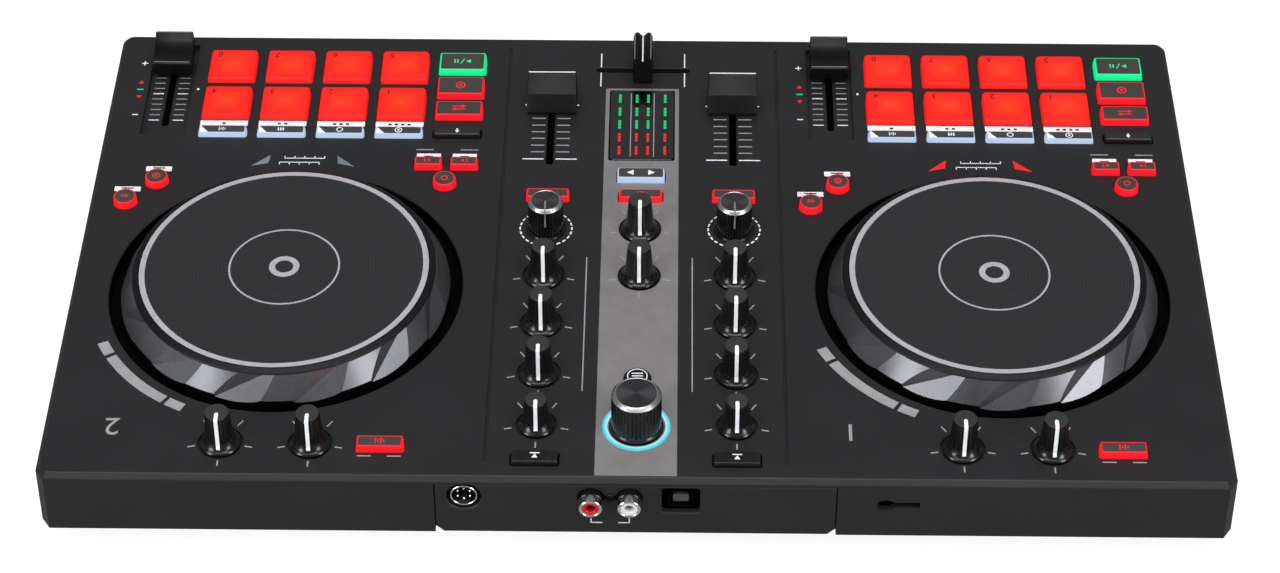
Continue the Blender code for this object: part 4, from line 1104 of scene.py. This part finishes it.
def make_pads(side):
    """Eight soft pads with a small numeral in a corner; the top is gridded so that it can glow."""
    bm = bmesh.new()
    for number, key in enumerate(KEYS[f"pads_{side}"], 1):
        face = key.face(bm, 0.0, NECK, 1.2)
        top = grow(bm, face, [(0, -NECK + 0.3, 0), (0.35, PAD_TOP - 0.8, 0), (0.15, 0.3, 0),
                              (0.3, 0.15, 0), (2.0, 0.05, 0), (2.5, 0.0, 0), (2.5, 0.0, 0)])
        bmesh.ops.poke(bm, faces=[top])
        digit(bm, str(number), key.x + NUMERAL_AT[0], key.y + NUMERAL_AT[1], NUMERAL_SIZE,
              PAD_TOP, 1)
    close_holes(bm)
    keep(bm, f"pads_{side}_soft", f"pad_mat_{side}", [LIT_PAD, DIGIT_INK], [f"pad_mat_{side}"],
         glow=pad_glow(KEYS[f"pads_{side}"]), smooth=40)


print("pad maker ready")

# %% Make all keys
for side in DECKS:
    make_pads(side)
    for name in ("play", "cue", "sync", "shift"):
        make_keys([f"{name}_key_{side}"], f"{name}_keycap_{side}")
    make_keys([f"mode_keys_{side}"], f"mode_keycaps_{side}")
    make_keys([f"loop_in_out_{side}", f"loop_on_{side}"], f"loop_keycaps_{side}")
    make_keys([f"slip_{side}"], f"slip_keycaps_{side}")
    make_keys([f"fx_key_{side}"], f"fx_keycap_{side}")
make_keys(["load"], "load_keycaps")
make_keys(["headphone_cue"], "headphone_cue_keycaps")
make_keys(["guide"], "guide_keycap")
make_keys(["assistant"], "assistant_keycap")
print("keys made:", sum(1 for name in triangles if "keycap" in name), "pieces")

# %% [markdown]
# ## Knobs
# A potentiometer knob is one glossy moulding: a skirt that sweeps up in a hollow curve, a ribbed
# flank, and a matt top. Its pointer is a white insert that runs from near the middle of the top,
# over the edge and down to the skirt. Stems go down into the panel's recess.

# %% Ribs and pointers
RECESS = -0.8
POINTER, POINTER_THICK = 1.3, 0.22                      # the white insert


def ribs(bm, count, low, high, depth):
    """Press narrow grooves into a lathed flank, between two heights."""
    for vert in bm.verts:
        if low < vert.co.z < high and cos(count * atan2(vert.co.y, vert.co.x)) > 0.5:
            vert.co.xy *= 1 - depth / vert.co.xy.length


def pointer(bm, profile, start, finish, width=POINTER):
    """A strip that follows a profile of (radius, height), from the top at radius start, on +Y."""
    line = [(start, profile[0][1])] + profile
    for (r1, z1), (r2, z2) in zip(line, line[1:]):
        length = Vector((r2 - r1, z2 - z1)).length + 0.1
        paint_made(bmesh.ops.create_cube(
            bm, size=1.0, matrix=Matrix.Translation((0, (r1 + r2) / 2, (z1 + z2) / 2))
            @ Matrix.Rotation(atan2(z2 - z1, r2 - r1), 4, "X")
            @ Matrix.Diagonal((width, length, POINTER_THICK, 1))), finish)
    paint_made(bmesh.ops.create_cone(
        bm, cap_ends=True, segments=20, radius1=width / 2, radius2=width / 2, depth=POINTER_THICK,
        matrix=Matrix.Translation((0, start, profile[0][1] - 0.02))), finish)


print("ribs and pointers ready")

# %% Potentiometer knobs
def pot_knob(node):
    base, height = KNOBS[node] - 0.55, panel_box(node)[1].z
    cap = KNOBS[node] * 0.55
    waist_r, waist_z = KNOBS[node] * 0.67, height * 0.22
    body = bmesh.new()
    lathe(body, [(0, RECESS), (base - 0.4, RECESS), (base, RECESS + 0.4), (base, 0.3),
                 (base - 0.2, 0.7), (base - 0.5, 0.95), (base * 0.86, 1.35), (base * 0.78, 2.0),
                 (waist_r, waist_z), (waist_r - 0.03, waist_z + 0.3), (cap + 0.05, height - 1.0),
                 (cap, height - 0.5), (cap - 0.15, height - 0.12), (cap - 0.45, height),
                 (cap - 0.5, height - 0.05), (0, height - 0.05)], 96)
    ribs(body, 24, waist_z + 0.2, height - 0.8, 0.28)
    paint(body, 1, lambda c: c.z > height - 0.09)
    pointer(body, [(cap - 0.4, height - 0.05), (cap, height - 0.45),
                   (waist_r - 0.02, waist_z + 0.2), (base * 0.79, 1.9)], cap * 0.25, 2)
    keep(body, f"{node}_cap", node, [GLOSS, KNOB_TOP, WHITE_INK], [node],
         spot(node), 25)


for node in KNOBS:
    if node != "encoder_knob" and not node.startswith("filter"):
        pot_knob(node)
print("knobs:", triangles["mid_knob_1_cap"], "triangles each")

# %% [markdown]
# The filter knobs and the encoder end in a chamfered metal ring round a spun dark top. Spinning
# leaves marks that run round, so a light shows as a fan. The shader gets that from anisotropy,
# with the tangent worked out as the direction that runs round the knob's own axis.

# %% Metal knobs
def spun(node, mark=0.8):
    """Dark aluminium faced on a lathe: its marks run round, so a light is mirrored as a fan."""
    finish, tree, shader = new_finish(f"spun_aluminium_{node}", "#5c5c5e", 0.34, 1.0,
                                      Anisotropic=0.85)
    place = add(tree, "ShaderNodeTexCoord").outputs["Object"]
    away = add(tree, "ShaderNodeVectorMath", {0: place, 1: tuple(TO_FRAME @ spot(node))},
               operation="SUBTRACT")
    around = add(tree, "ShaderNodeVectorMath", {0: away.outputs["Vector"], 1: (0, 0, 1)},
                 operation="CROSS_PRODUCT")
    unit = add(tree, "ShaderNodeVectorMath", {0: around.outputs["Vector"]}, operation="NORMALIZE")
    tree.links.new(unit.outputs["Vector"], shader.inputs["Tangent"])
    marks = add(tree, "ShaderNodeTexWave", {"Vector": away.outputs["Vector"],
                "Scale": RING_WAVE / mark / MM}, wave_type="RINGS", rings_direction="Z")
    ramp = add(tree, "ShaderNodeValToRGB", {"Fac": marks.outputs["Fac"]})
    set_stops(ramp, ("#4c4c4e", "#68686a"))
    tree.links.new(ramp.outputs["Color"], shader.inputs["Base Color"])
    return finish


def metal_knob(node, foot, cap, low=RECESS, line=True):
    """A ribbed drum with a turned ring and a spun dark top."""
    height, base = panel_box(node)[1].z, KNOBS[node]
    body = bmesh.new()
    lathe(body, [(0, low), (base, low), (base, low + foot), (base - 0.45, low + foot + 0.5),
                 (base - 0.45, low + foot + 0.9), (base - 0.5, height - 1.5),
                 (base - 0.6, height - 1.2), (base - 0.75, height - 1.05),
                 (cap + 0.25, height - 0.2), (cap, height), (cap - 0.2, height),
                 (cap - 0.3, height - 0.08), (0, height - 0.08)], 144)
    ribs(body, 36, low + foot + 0.7, height - 1.35, 0.35)
    paint(body, 1, lambda c: c.z > height - 1.3)
    paint(body, 2, lambda c: c.z > height - 0.09 and c.xy.length < cap - 0.31)
    if line:
        pointer(body, [(cap, height - 0.02), (base - 0.7, height - 1.2),
                       (base - 0.45, height - 7.5)], cap * 0.15, 3, 0.6)
    keep(body, f"{node}_drum", node, [GLOSS, ALUMINIUM, spun(node), SILVER_INK_AND_HIGHLIGHT], [node],
         AXES.get(node, spot(node)), 25)


for side in ("1", "2"):
    metal_knob(f"filter_knob_{side}", 0.9, 5.4)
metal_knob("encoder_knob", 0.6, 7.3, panel_box("encoder_knob")[0].z, False)
ring = bmesh.new()
lathe(ring, [(9.95, -0.1), (11.7, -0.1), (11.7, 0.15), (11.45, 0.35), (10.2, 0.35), (9.95, 0.2)],
      96, closed=True)
keep(ring, "encoder_light_ring", "chassis", [LIT_CYAN], (), spot("encoder_knob"),
     glow=lambda co: max(0.0, (11.3 - co.xy.length) / 1.3))
print("encoder drum:", triangles["encoder_knob_drum"], "triangles")

# %% [markdown]
# ## Faders
# A cap is a moulding with one profile all along it, so its outline is drawn from the side, pushed
# out to its width, and every edge is rounded. The stem below it is flat sheet that runs in the
# slot. A line on a cap is white print, or silver painted highlight along a ridge top; it has its
# place and height, its length, its thickness and its finish.

# %% Fader caps
# Fader caps are satin black: the top mirrors the light only as a broad soft band
CAP = moulded("satin_ABS_black", ("#060607", "#09090a"), 0.38, **{"Specular IOR Level": 0.2})
CAP_FINISHES = [CAP, WHITE_INK, SILVER_INK_AND_HIGHLIGHT, NICKEL]
STEM_LONG, STEM_Z, TAPER = 7.0, -1.4, 0.05


def fader_cap(name, node, outline, width, lines, stem, across=False):
    """A cap from its side outline of (y, z), running along X, or along Y when across is set."""
    body = bmesh.new()
    face = body.faces.new([body.verts.new((-width / 2, y, z)) for y, z in outline])
    pushed = bmesh.ops.extrude_face_region(body, geom=[face])["geom"]
    bmesh.ops.translate(body, vec=(width, 0, 0),
                        verts=[v for v in pushed if isinstance(v, bmesh.types.BMVert)])
    top = max(z for y, z in outline)
    for vert in body.verts:
        vert.co.x *= 1 - TAPER * vert.co.z / top
    soften(body, 0.35, 2, 30)
    for y, z, length, thick, finish in lines:
        bar(body, 0, y, length, thick, z, finish)
    paint_made(bmesh.ops.create_cube(body, size=1.0, matrix=Matrix.Translation((0, 0, STEM_Z))
                                     @ Matrix.Diagonal((*stem, STEM_LONG, 1))), 3)
    if across:
        body.transform(Matrix.Rotation(pi / 2, 4, "Z"))
    keep(body, name, node, CAP_FINISHES, [node], spot(node), 25)


TEMPO_OUTLINE = [(-7.75, 1.0), (-7.75, 9.2), (-7.2, 10.3), (-6.4, 10.5), (-5.7, 10.1),
                 (-4.9, 9.0), (-3.2, 7.9), (-0.6, 6.9), (2.4, 6.3), (5.2, 6.2), (6.7, 6.4),
                 (7.4, 5.9), (7.75, 1.0)]
LINE_OUTLINE = [(-6.3, 1.2), (-6.3, 11.2), (-5.9, 11.7), (-5.3, 11.8), (-4.9, 11.2), (2.4, 7.6),
                (5.9, 1.8), (6.3, 1.2)]
CROSS_OUTLINE = [(-3.7, 1.0), (-3.7, 10.2), (-3.1, 11.9), (-2.2, 12.3), (-1.2, 11.7),
                 (-0.5, 10.7), (0.5, 10.7), (1.2, 11.7), (2.2, 12.3), (3.1, 11.9), (3.7, 10.2),
                 (3.7, 1.0)]
for side in DECKS:
    # The tempo cap's two silver lines are painted highlights on the front ridge and the rear top
    # edge
    fader_cap(f"tempo_cap_{side}", f"tempo_fader_{side}", TEMPO_OUTLINE, 15.0,
              [(-6.4, 10.5, 13.6, 0.4, 2), (6.7, 6.4, 13.6, 0.4, 2)], (1.6, 5.0))
    fader_cap(f"line_cap_{side}", f"line_fader_{side}", LINE_OUTLINE, 19.2,
              [(-5.4, 11.8, 17.6, 0.5, 1)], (1.6, 5.0))
# The crossfader's centre line is white print; its two silver lines are painted highlights on the
# humps
fader_cap("cross_cap", "crossfader", CROSS_OUTLINE, 17.5,
          [(0.0, 10.7, 15.6, 0.55, 1), (-3.05, 11.9, 15.8, 0.3, 2), (3.05, 11.9, 15.8, 0.3, 2)],
          (1.6, 3.4), across=True)
print("fader caps:", triangles["tempo_cap_1"], "triangles")

# %% [markdown]
# ## Meter window
# A smoked pane over four columns of small LED bars. The bars sit just above the pane's face here,
# because the pane is opaque black; on the real one they shine through it.

# %% Window and LEDs
LED_COLUMNS = (-8.7, -2.3, 2.0, 8.4)
# Where each row of LEDs is, how long it is, and its finish: green near the player, then red
LED_ROWS = ((-51.3, 5.2, 3), (-58.9, 5.0, 3), (-66.4, 5.2, 2), (-73.9, 5.1, 2), (-81.7, 5.0, 2))
LED_DOTS, LED_WIDE, LED_GAP = 3, 1.0, 0.25
PANE_TOP = 0.16
window = KEYS["window"][0]
pane = bmesh.new()
solid(pane, window.face(pane, 0.0, NECK, 1.6), [(0, -NECK + 0.05, 0), (0.12, 0.12, 0)])
for x in (-4.5, 4.2):
    bar(pane, window.x + x, window.y, 0.35, 37.0, PANE_TOP, 1)
for x in LED_COLUMNS:
    for y, length, finish in LED_ROWS:
        for i in range(LED_DOTS):
            bar(pane, window.x + x, y + (i - 1) * length / LED_DOTS, LED_WIDE,
                length / LED_DOTS - LED_GAP, PANE_TOP, finish)
keep(pane, "meter_pane", "chassis", [SMOKED, GREY_INK, LED_GREEN, LED_RED], ["meter_window"])
print("window done")

# %% [markdown]
# ## Printed marks
# White and grey screen ink on the panel: tick marks, scales, label boxes with no lettering, the
# arc beside each jog wheel. Each is a film with a real thickness, so that it casts no gap.

# %% Marks around the knobs and faders
THIN, LINE = 0.45, 0.5           # the two widths of a printed line
TICKS = ((0, 8.6, 11.2), (78, 8.6, 11.2), (-78, 8.6, 11.2), (147, 9.4, 12.4), (-147, 9.4, 12.4))
DOT_CIRCLE, DOT_STEP = 9.4, 15
MIXER_RULE = (19.0, 42.5, 68.7)                         # x, y and length
CROSS_ENDS, CROSS_MARK_X, CROSS_MARK = (-93.3, -105.0), 16.0, 8.3
LINE_SCALE = (-46.2, -50.3, -54.1, -58.1, -61.9, -65.8, -69.8, -73.7)
SCALE_NEAR, SCALE_FAR, SCALE_FIRST_FAR = 2.2, 7.2, 10.1
white, grey, dark = bmesh.new(), bmesh.new(), bmesh.new()
for node in KNOBS:
    place = spot(node)
    if node.startswith("filter"):
        for angle in range(-150, 151, DOT_STEP):
            turn = radians(angle)
            bar(white, place.x + DOT_CIRCLE * sin(turn), place.y + DOT_CIRCLE * cos(turn), 1.5,
                0.6, 0, 0, -turn)
    elif node != "encoder_knob":
        for angle, near, far in TICKS:
            turn, away = radians(angle), (near + far) / 2
            bar(grey, place.x - away * sin(turn), place.y + away * cos(turn), LINE, far - near,
                0, 0, turn)
for sign in (-1, 1):
    bar(grey, sign * MIXER_RULE[0], MIXER_RULE[1], THIN, MIXER_RULE[2], 0, 0)
    for y in CROSS_ENDS:
        bar(white, sign * CROSS_MARK_X, y, THIN, CROSS_MARK, 0, 0)
for place in LINES:
    for i, y in enumerate(LINE_SCALE):
        far, ink = (SCALE_FIRST_FAR, white) if i == 0 else (SCALE_FAR, grey)
        for sign in (-1, 1):
            bar(ink, place.x + sign * (SCALE_NEAR + far) / 2, y, far - SCALE_NEAR, LINE, 0, 0)
    for sign in (-1, 1):
        disc(white, place.x + sign * 9.8, -77.7, 0.45, 0.02, 0, 12)
print("marks on the mixer done")

# %% [markdown]
# On the decks, a key's second function is in a small white box beside it. The boxes have dark
# dashes and pips where a maker would put words. Beside each wheel is an arc in three pieces, and
# near the front are two arrows and a ruler for matching the beat.

# %% Boxes beside the keys
PIP_STEP, PIP = 2.4, (1.2, 0.9)


def label(x, y, width, depth, dash=None):
    """A white box, with a dark dash of (y, width, depth) in it."""
    bar(white, x, y, width, depth, 0, 0)
    if dash:
        bar(dark, x, dash[0], *dash[1:], INK, 0)


for side in DECKS:
    for pips, key in enumerate(reversed(KEYS[f"mode_keys_{side}"]), 1):
        label(key.x, -65.55, PAD, 2.9)
        for i in range(pips):
            bar(dark, key.x + (i - (pips - 1) / 2) * PIP_STEP, -65.4, *PIP, INK, 0)
    for key in KEYS[f"loop_in_out_{side}"]:
        label(key.x, -47.25, 9.0, 2.9, (-47.1, 3.4, 0.7))
    for key in KEYS[f"slip_{side}"]:
        label(key.x, key.y - 6.6, 9.6, 2.6, (key.y - 7.0, 4.6, 0.6))
    for sign in (-1, 1):
        bar(grey, KEYS[f"loop_on_{side}"][0].x + sign * 8.3, -51.0, 6.6, LINE, 0, 0)
        bar(grey, KEYS[f"fx_key_{side}"][0].x + sign * 5.1, 108.9, 4.7, LINE, 0, 0)
print("boxes done")

# %% Rulers, arcs and scales
ARC = (66.4, 70.2)                                      # inner and outer radius
ARC_PIECES = ((58.5, 64.0), (32.3, 57.3), (25.5, 31.0))  # degrees
TEMPO_TOP, TEMPO_STEP = -69.4, TEMPO_TRAVEL / 10
SIGN_X = 66.1                                           # the plus and minus beside the fader
for side, deck in DECKS.items():
    for shift, y in ((-0.9, -45.5), (0.9, -43.2)):
        ruler = deck.x + 0.5 + shift
        bar(white, ruler, y, 15.2, 0.35, 0, 0)
        for i in range(-2, 3):
            bar(white, ruler + i * 3.7, y + (0.6 if shift > 0 else -0.6), 0.35, 1.2, 0, 0)
    digit(grey, side, deck.x + 53.0, 95.4, 11.5, 0.0, 0)
    for first, last in ARC_PIECES:
        merge_turned(grey, [(ARC[0], -0.05), (ARC[1], -0.05), (ARC[1], INK), (ARC[0], INK)],
                     int(last - first) + 1, 0, (deck.x, deck.y, 0), closed=True,
                     sweep=radians(last - first), start=radians(first))
    for i in range(11):
        for sign in (-1, 1):
            bar(white if i % 5 == 0 else grey, TRACKS[side].x + sign * 4.6,
                TEMPO_TOP - TEMPO_STEP * i, 4.0, THIN, -TEMPO_WELL[2], 0)
    disc(white, deck.x + 43.9, -85.6, 0.5, 0.02, 0, 14)
    bar(white, deck.x + SIGN_X, -70.2, 2.2, LINE, 0, 0)
    bar(white, deck.x + SIGN_X, -101.0, 2.4, LINE, 0, 0)
    bar(white, deck.x + SIGN_X, -101.0, LINE, 2.4, 0.004, 0)
print("rulers and scales done")

# %% Deck lights, and the marks as pieces
ARROWS = {"1": LIT_RED, "2": LENS_OFF}
ARROW_CORNERS = ((19.3, -40.9), (12.4, -47.2), (13.0, -42.6))
LIGHT_X = 66.0
for side, deck in DECKS.items():
    lights = bmesh.new()
    for y, turn in ((-81.0, pi / 2), (-89.4, -pi / 2)):
        disc(lights, deck.x + LIGHT_X, y, 1.2, 0.02, 0, 3, turn)
    bar(lights, deck.x + LIGHT_X, -85.2, 2.4, 0.7, 0, 1)
    for sign in (-1, 1):
        wedge = bmesh.new()
        corners = [(deck.x + sign * x, y) for x, y in ARROW_CORNERS]
        solid(wedge, flat(wedge, corners, -0.05), [(0, 0.1, 0)])
        paint(wedge, 2)
        merge(lights, wedge)
    keep(lights, f"deck_indicators_{side}", "chassis", [LED_RED, LED_GREEN, ARROWS[side]])
keep(white, "printed_marks_white", "chassis", [WHITE_INK])
keep(grey, "printed_marks_grey", "chassis", [GREY_INK])
keep(dark, "printed_marks_dark", "chassis", [SHADE_AND_DARK_INK])
print("marks:", triangles["printed_marks_white"] + triangles["printed_marks_grey"], "triangles")

# %% [markdown]
# ## The rear
# The socket panel is its own moulding, set between two seams. It is drawn lying down, with its
# outer face up, and then stood up by swapping height and depth.

# %% Rear panel
STAND = Matrix(((1, 0, 0, 0), (0, 0, 1, 0), (0, 1, 0, 0), (0, 0, 0, 1)))
STAND.translation = (0, REAR, 0)
PHONO_X, PHONO_Z, PHONO_R = (2.1, 15.1), -8.6, 4.15
DIN, DIN_R = (58.0, -8.6), 5.9
DATA, DATA_SIZE = (-15.3, -9.8), (13.0, 11.8)
FIXING = (8.6, -8.6)
HOLE_FLOOR, HOLE_LOW = -4.05, -4
SLAB_BACK, SLAB_CUT = -2.4, 2.6
BRACKET_LOW, BRACKET_HALF = -20.6, 1.9
panel_low, panel_high = panel_box("rear_panel")
slab = bmesh.new()
w, low, high = panel_high.x, panel_low.z, panel_high.z
solid(slab, flat(slab, [(-w + SLAB_CUT, low), (w - SLAB_CUT, low), (w, low + SLAB_CUT), (w, high),
                        (-w, high), (-w, low + SLAB_CUT)], SLAB_BACK),
      [(0, 2.05, 0), (0.3, 0.3, 0)])
holes = bmesh.new()
for x in PHONO_X:
    opening(holes, round_face(holes, PHONO_R + 0.35, x, PHONO_Z, HOLE_LOW, 40), HOLE_FLOOR, 0.25)
opening(holes, round_face(holes, DIN_R, *DIN, HOLE_LOW, 48), HOLE_FLOOR, 0.5)
opening(holes, rounded(holes, *DATA_SIZE, 1.4, *DATA, HOLE_LOW), HOLE_FLOOR, 0.4)
slab = carve(slab, [("DIFFERENCE", holes)], [CASE])
for x, inward in zip(PHONO_X, (1, -1)):
    bar(slab, x + inward * BRACKET_HALF, BRACKET_LOW, 2 * BRACKET_HALF, 0.4, -0.05, 1)
for x in PHONO_X:
    bar(slab, x, BRACKET_LOW + 1.0, 0.4, 2.2, -0.05, 1)
slab.transform(STAND)
keep(slab, "socket_panel", "chassis", [CASE, WHITE_INK], ["rear_panel"], smooth=20)
print("rear panel", triangles["socket_panel"], "triangles")

# %% [markdown]
# A phono socket is three turned parts: a black collar, a nickel barrel and a coloured insert. The
# mini-DIN is a metal cup with six pins and a key, and the square data socket is a folded metal
# shell, house-shaped, round a plastic tongue.

# %% Phono sockets
# Soft PVC, moulded in its colour, with a slight waxy gloss
RED_INSERT = moulded("moulded_PVC_red", ("#b3141c", "#c41a22"), 0.35, depth=0.004)
WHITE_INSERT = moulded("moulded_PVC_white", ("#dcdcda", "#e8e8e6"), 0.35, depth=0.004)
PHONO_COLLAR = [(0, -3.0), (PHONO_R, -3.0), (PHONO_R, 2.0), (PHONO_R - 0.2, 2.2), (0, 2.2)]
PHONO_BARREL = [(2.9, 2.1), (PHONO_R - 0.25, 2.1), (PHONO_R - 0.25, 5.2), (PHONO_R - 0.45, 5.4),
                (3.3, 5.4), (3.1, 5.2), (2.9, 5.2)]
PHONO_INSERT = [(1.7, 2.1), (3.15, 2.1), (3.15, 5.0), (2.9, 5.2), (1.9, 5.2), (1.7, 5.0)]
phono = bmesh.new()
for x, insert_finish in zip(PHONO_X, (2, 3)):
    for profile, finish in ((PHONO_COLLAR, 0), (PHONO_BARREL, 1), (PHONO_INSERT, insert_finish)):
        merge_turned(phono, profile, 48, finish, (x, PHONO_Z, 0), closed=profile[0][0] > 0)
phono.transform(STAND)
keep(phono, "phono_sockets", "chassis", [GLOSS, NICKEL, WHITE_INSERT, RED_INSERT],
     ["rca_sockets"])
print("phono sockets", triangles["phono_sockets"], "triangles")

# %% Mini-DIN socket
DIN_CUP = [(0, -7.0), (5.5, -7.0), (5.5, -1.2), (4.7, -1.2), (4.6, -4.0), (0, -4.0)]
DIN_RING = [(4.1, -3.9), (4.65, -3.9), (4.65, -0.7), (4.5, -0.55), (4.25, -0.55), (4.1, -0.7)]
DIN_PIN = [(0, -4.1), (0.45, -4.1), (0.45, -1.6), (0.25, -1.3), (0, -1.3)]
PIN_CIRCLE = 2.4
din = bmesh.new()
# Painted shade: the socket's cup is near-black
lathe(din, DIN_CUP, 64)
merge_turned(din, DIN_RING, 64, 1, closed=True)
for i in range(6):
    angle = radians(30 + 60 * i)
    merge_turned(din, DIN_PIN, 12, 1, (PIN_CIRCLE * cos(angle), PIN_CIRCLE * sin(angle), 0))
bar(din, 0, -2.9, 1.8, 1.2, -3.0, 2, sink=1.0)
din.transform(STAND @ Matrix.Translation((*DIN, 0)))
keep(din, "mini_din", "chassis", [SHADE_AND_DARK_INK, NICKEL, GLOSS], ["mini_din_socket"])
print("mini-DIN", triangles["mini_din"], "triangles")

# %% Data socket
# Glass-filled PBT in the socket's tongue: dull grey and hard
TONGUE = moulded("moulded_PBT_grey", ("#3a3b3e", "#424346"), 0.5, depth=0.004)
HOUSE = [(-4.2, -3.9), (4.2, -3.9), (4.2, 1.9), (2.4, 3.9), (-2.4, 3.9), (-4.2, 1.9)]
port, folded, mouth, tongue = (bmesh.new() for part in range(4))
# Painted shade: the port's recess and the inside of the shell's mouth are near-black
solid(port, rounded(port, 12.0, 10.8, 1.0, 0, 0, -8.0), [(0, 4.0, 0)])
solid(folded, flat(folded, HOUSE, -4.2), [(0, 3.0, 1)])
solid(mouth, flat(mouth, [(x * 0.9, y * 0.9) for x, y in HOUSE], -3.9), [(0, 4.0, 0)])
merge(port, carve(folded, [("DIFFERENCE", mouth)], [SHADE_AND_DARK_INK, DARK_METAL]))
solid(tongue, rounded(tongue, 5.4, 3.0, 0.4, 0, 0.1, -4.1), [(0, 2.6, 2), (0.2, 0.2, 2)])
paint(tongue, 2)
merge(port, tongue)
port.transform(STAND @ Matrix.Translation((*DATA, 0)))
keep(port, "data_socket", "chassis", [SHADE_AND_DARK_INK, DARK_METAL, TONGUE], ["usb_socket"],
     smooth=20)
print("data socket", triangles["data_socket"], "triangles")

# %% [markdown]
# A pan-head screw is a turned dome with a cross cut into it. One holds the phono pair, and eight
# more hold the case together from below.

# %% Screws
def screw(radius):
    """A pan-head screw with a cross recess, head up."""
    head, cross_cut = bmesh.new(), bmesh.new()
    lathe(head, [(0, -0.6), (radius, -0.6), (radius, 0.15), (radius * 0.85, 0.5),
                 (radius * 0.5, 0.72), (0, 0.78)], 32)
    arm, half = radius * 0.62, radius * 0.13
    quarter = [(-half, -arm), (half, -arm), (half, -half)]
    corners = quarter + [(arm, -half), (arm, half), (half, half)]
    corners += [(-x, -y) for x, y in quarter] + [(-arm, half), (-arm, -half), (-half, -half)]
    solid(cross_cut, flat(cross_cut, corners, 0.1), [(0, 1.2, 0)])
    made = carve(head, [("DIFFERENCE", cross_cut)], [DARK_METAL])
    paint(made, 0)
    return made


fixing = screw(1.9)
fixing.transform(STAND @ Matrix.Translation((*FIXING, 0.0)))
keep(fixing, "phono_screw", "chassis", [DARK_METAL])
print("screw", triangles["phono_screw"], "triangles")

# %% [markdown]
# ## Front and underside
# The jack is a nickel bush in the front wall. Below are a rough-grained belly, rubber feet with a
# soft edge and a ring pressed into the sole, and the screws that hold the two shells together.

# %% Jack, feet and case screws
JACK_BUSH = [(1.75, -8.0), (3.55, -8.0), (3.55, -0.3), (3.3, 0.0), (2.3, 0.0), (1.75, -0.5)]
CASE_SCREWS = ((-150, -62), (150, -62), (-150, 62), (150, 62), (-52, 0), (52, 0), (0, -84), (0, 84))
jack_low, jack_high = panel_box("headphone_socket")
bush = bmesh.new()
lathe(bush, JACK_BUSH, 48, closed=True)
bush.transform(Matrix.Translation(((jack_low.x + jack_high.x) / 2, jack_low.y,
                                   (jack_low.z + jack_high.z) / 2))
               @ Matrix.Rotation(pi / 2, 4, "X"))
keep(bush, "jack_bush", "chassis", [NICKEL], ["headphone_socket"])

for node in [n for n in frame["nodes"] if n.endswith("_foot")]:
    low, high = panel_box(node)
    radius, tall = (high.x - low.x) / 2, high.z - low.z
    foot = bmesh.new()
    lathe(foot, [(0, 0), (radius * 0.45, 0), (radius * 0.5, 0.5), (radius * 0.62, 0.5),
                 (radius * 0.67, 0), (radius - 0.7, 0), (radius - 0.15, 0.5), (radius, tall),
                 (0, tall)], 64)
    keep(foot, f"{node}_pad", "chassis", [RUBBER], [node],
         (*spot(node).xy, low.z))

belly_low = panel_box("bottom_shell")[0].z
screws = bmesh.new()
for x, y in CASE_SCREWS:
    merge(screws, screw(2.9),
          Matrix.Translation((x, y, belly_low)) @ Matrix.Rotation(pi, 4, "X"))
keep(screws, "case_screws", "chassis", [DARK_METAL])
print("case screws", triangles["case_screws"], "triangles")

# %% [markdown]
# Three pieces of the working model are already the right shape and only need a finish: the belly,
# the encoder's shaft, and the board inside, which gets the near-black of painted shade like the
# wells so that a gap round a key shows dark.

# %% Finishes on the working pieces
# The board under the keys takes the near-black of painted shade
for name, finish in (("bottom_shell", UNDERSIDE), ("control_board", SHADE_AND_DARK_INK),
                     ("encoder_shaft", ALUMINIUM)):
    materials = bpy.data.objects[name].data.materials
    for slot_number in range(len(materials)):
        materials[slot_number] = finish
print(len(triangles), "pieces,", sum(triangles.values()), "triangles")
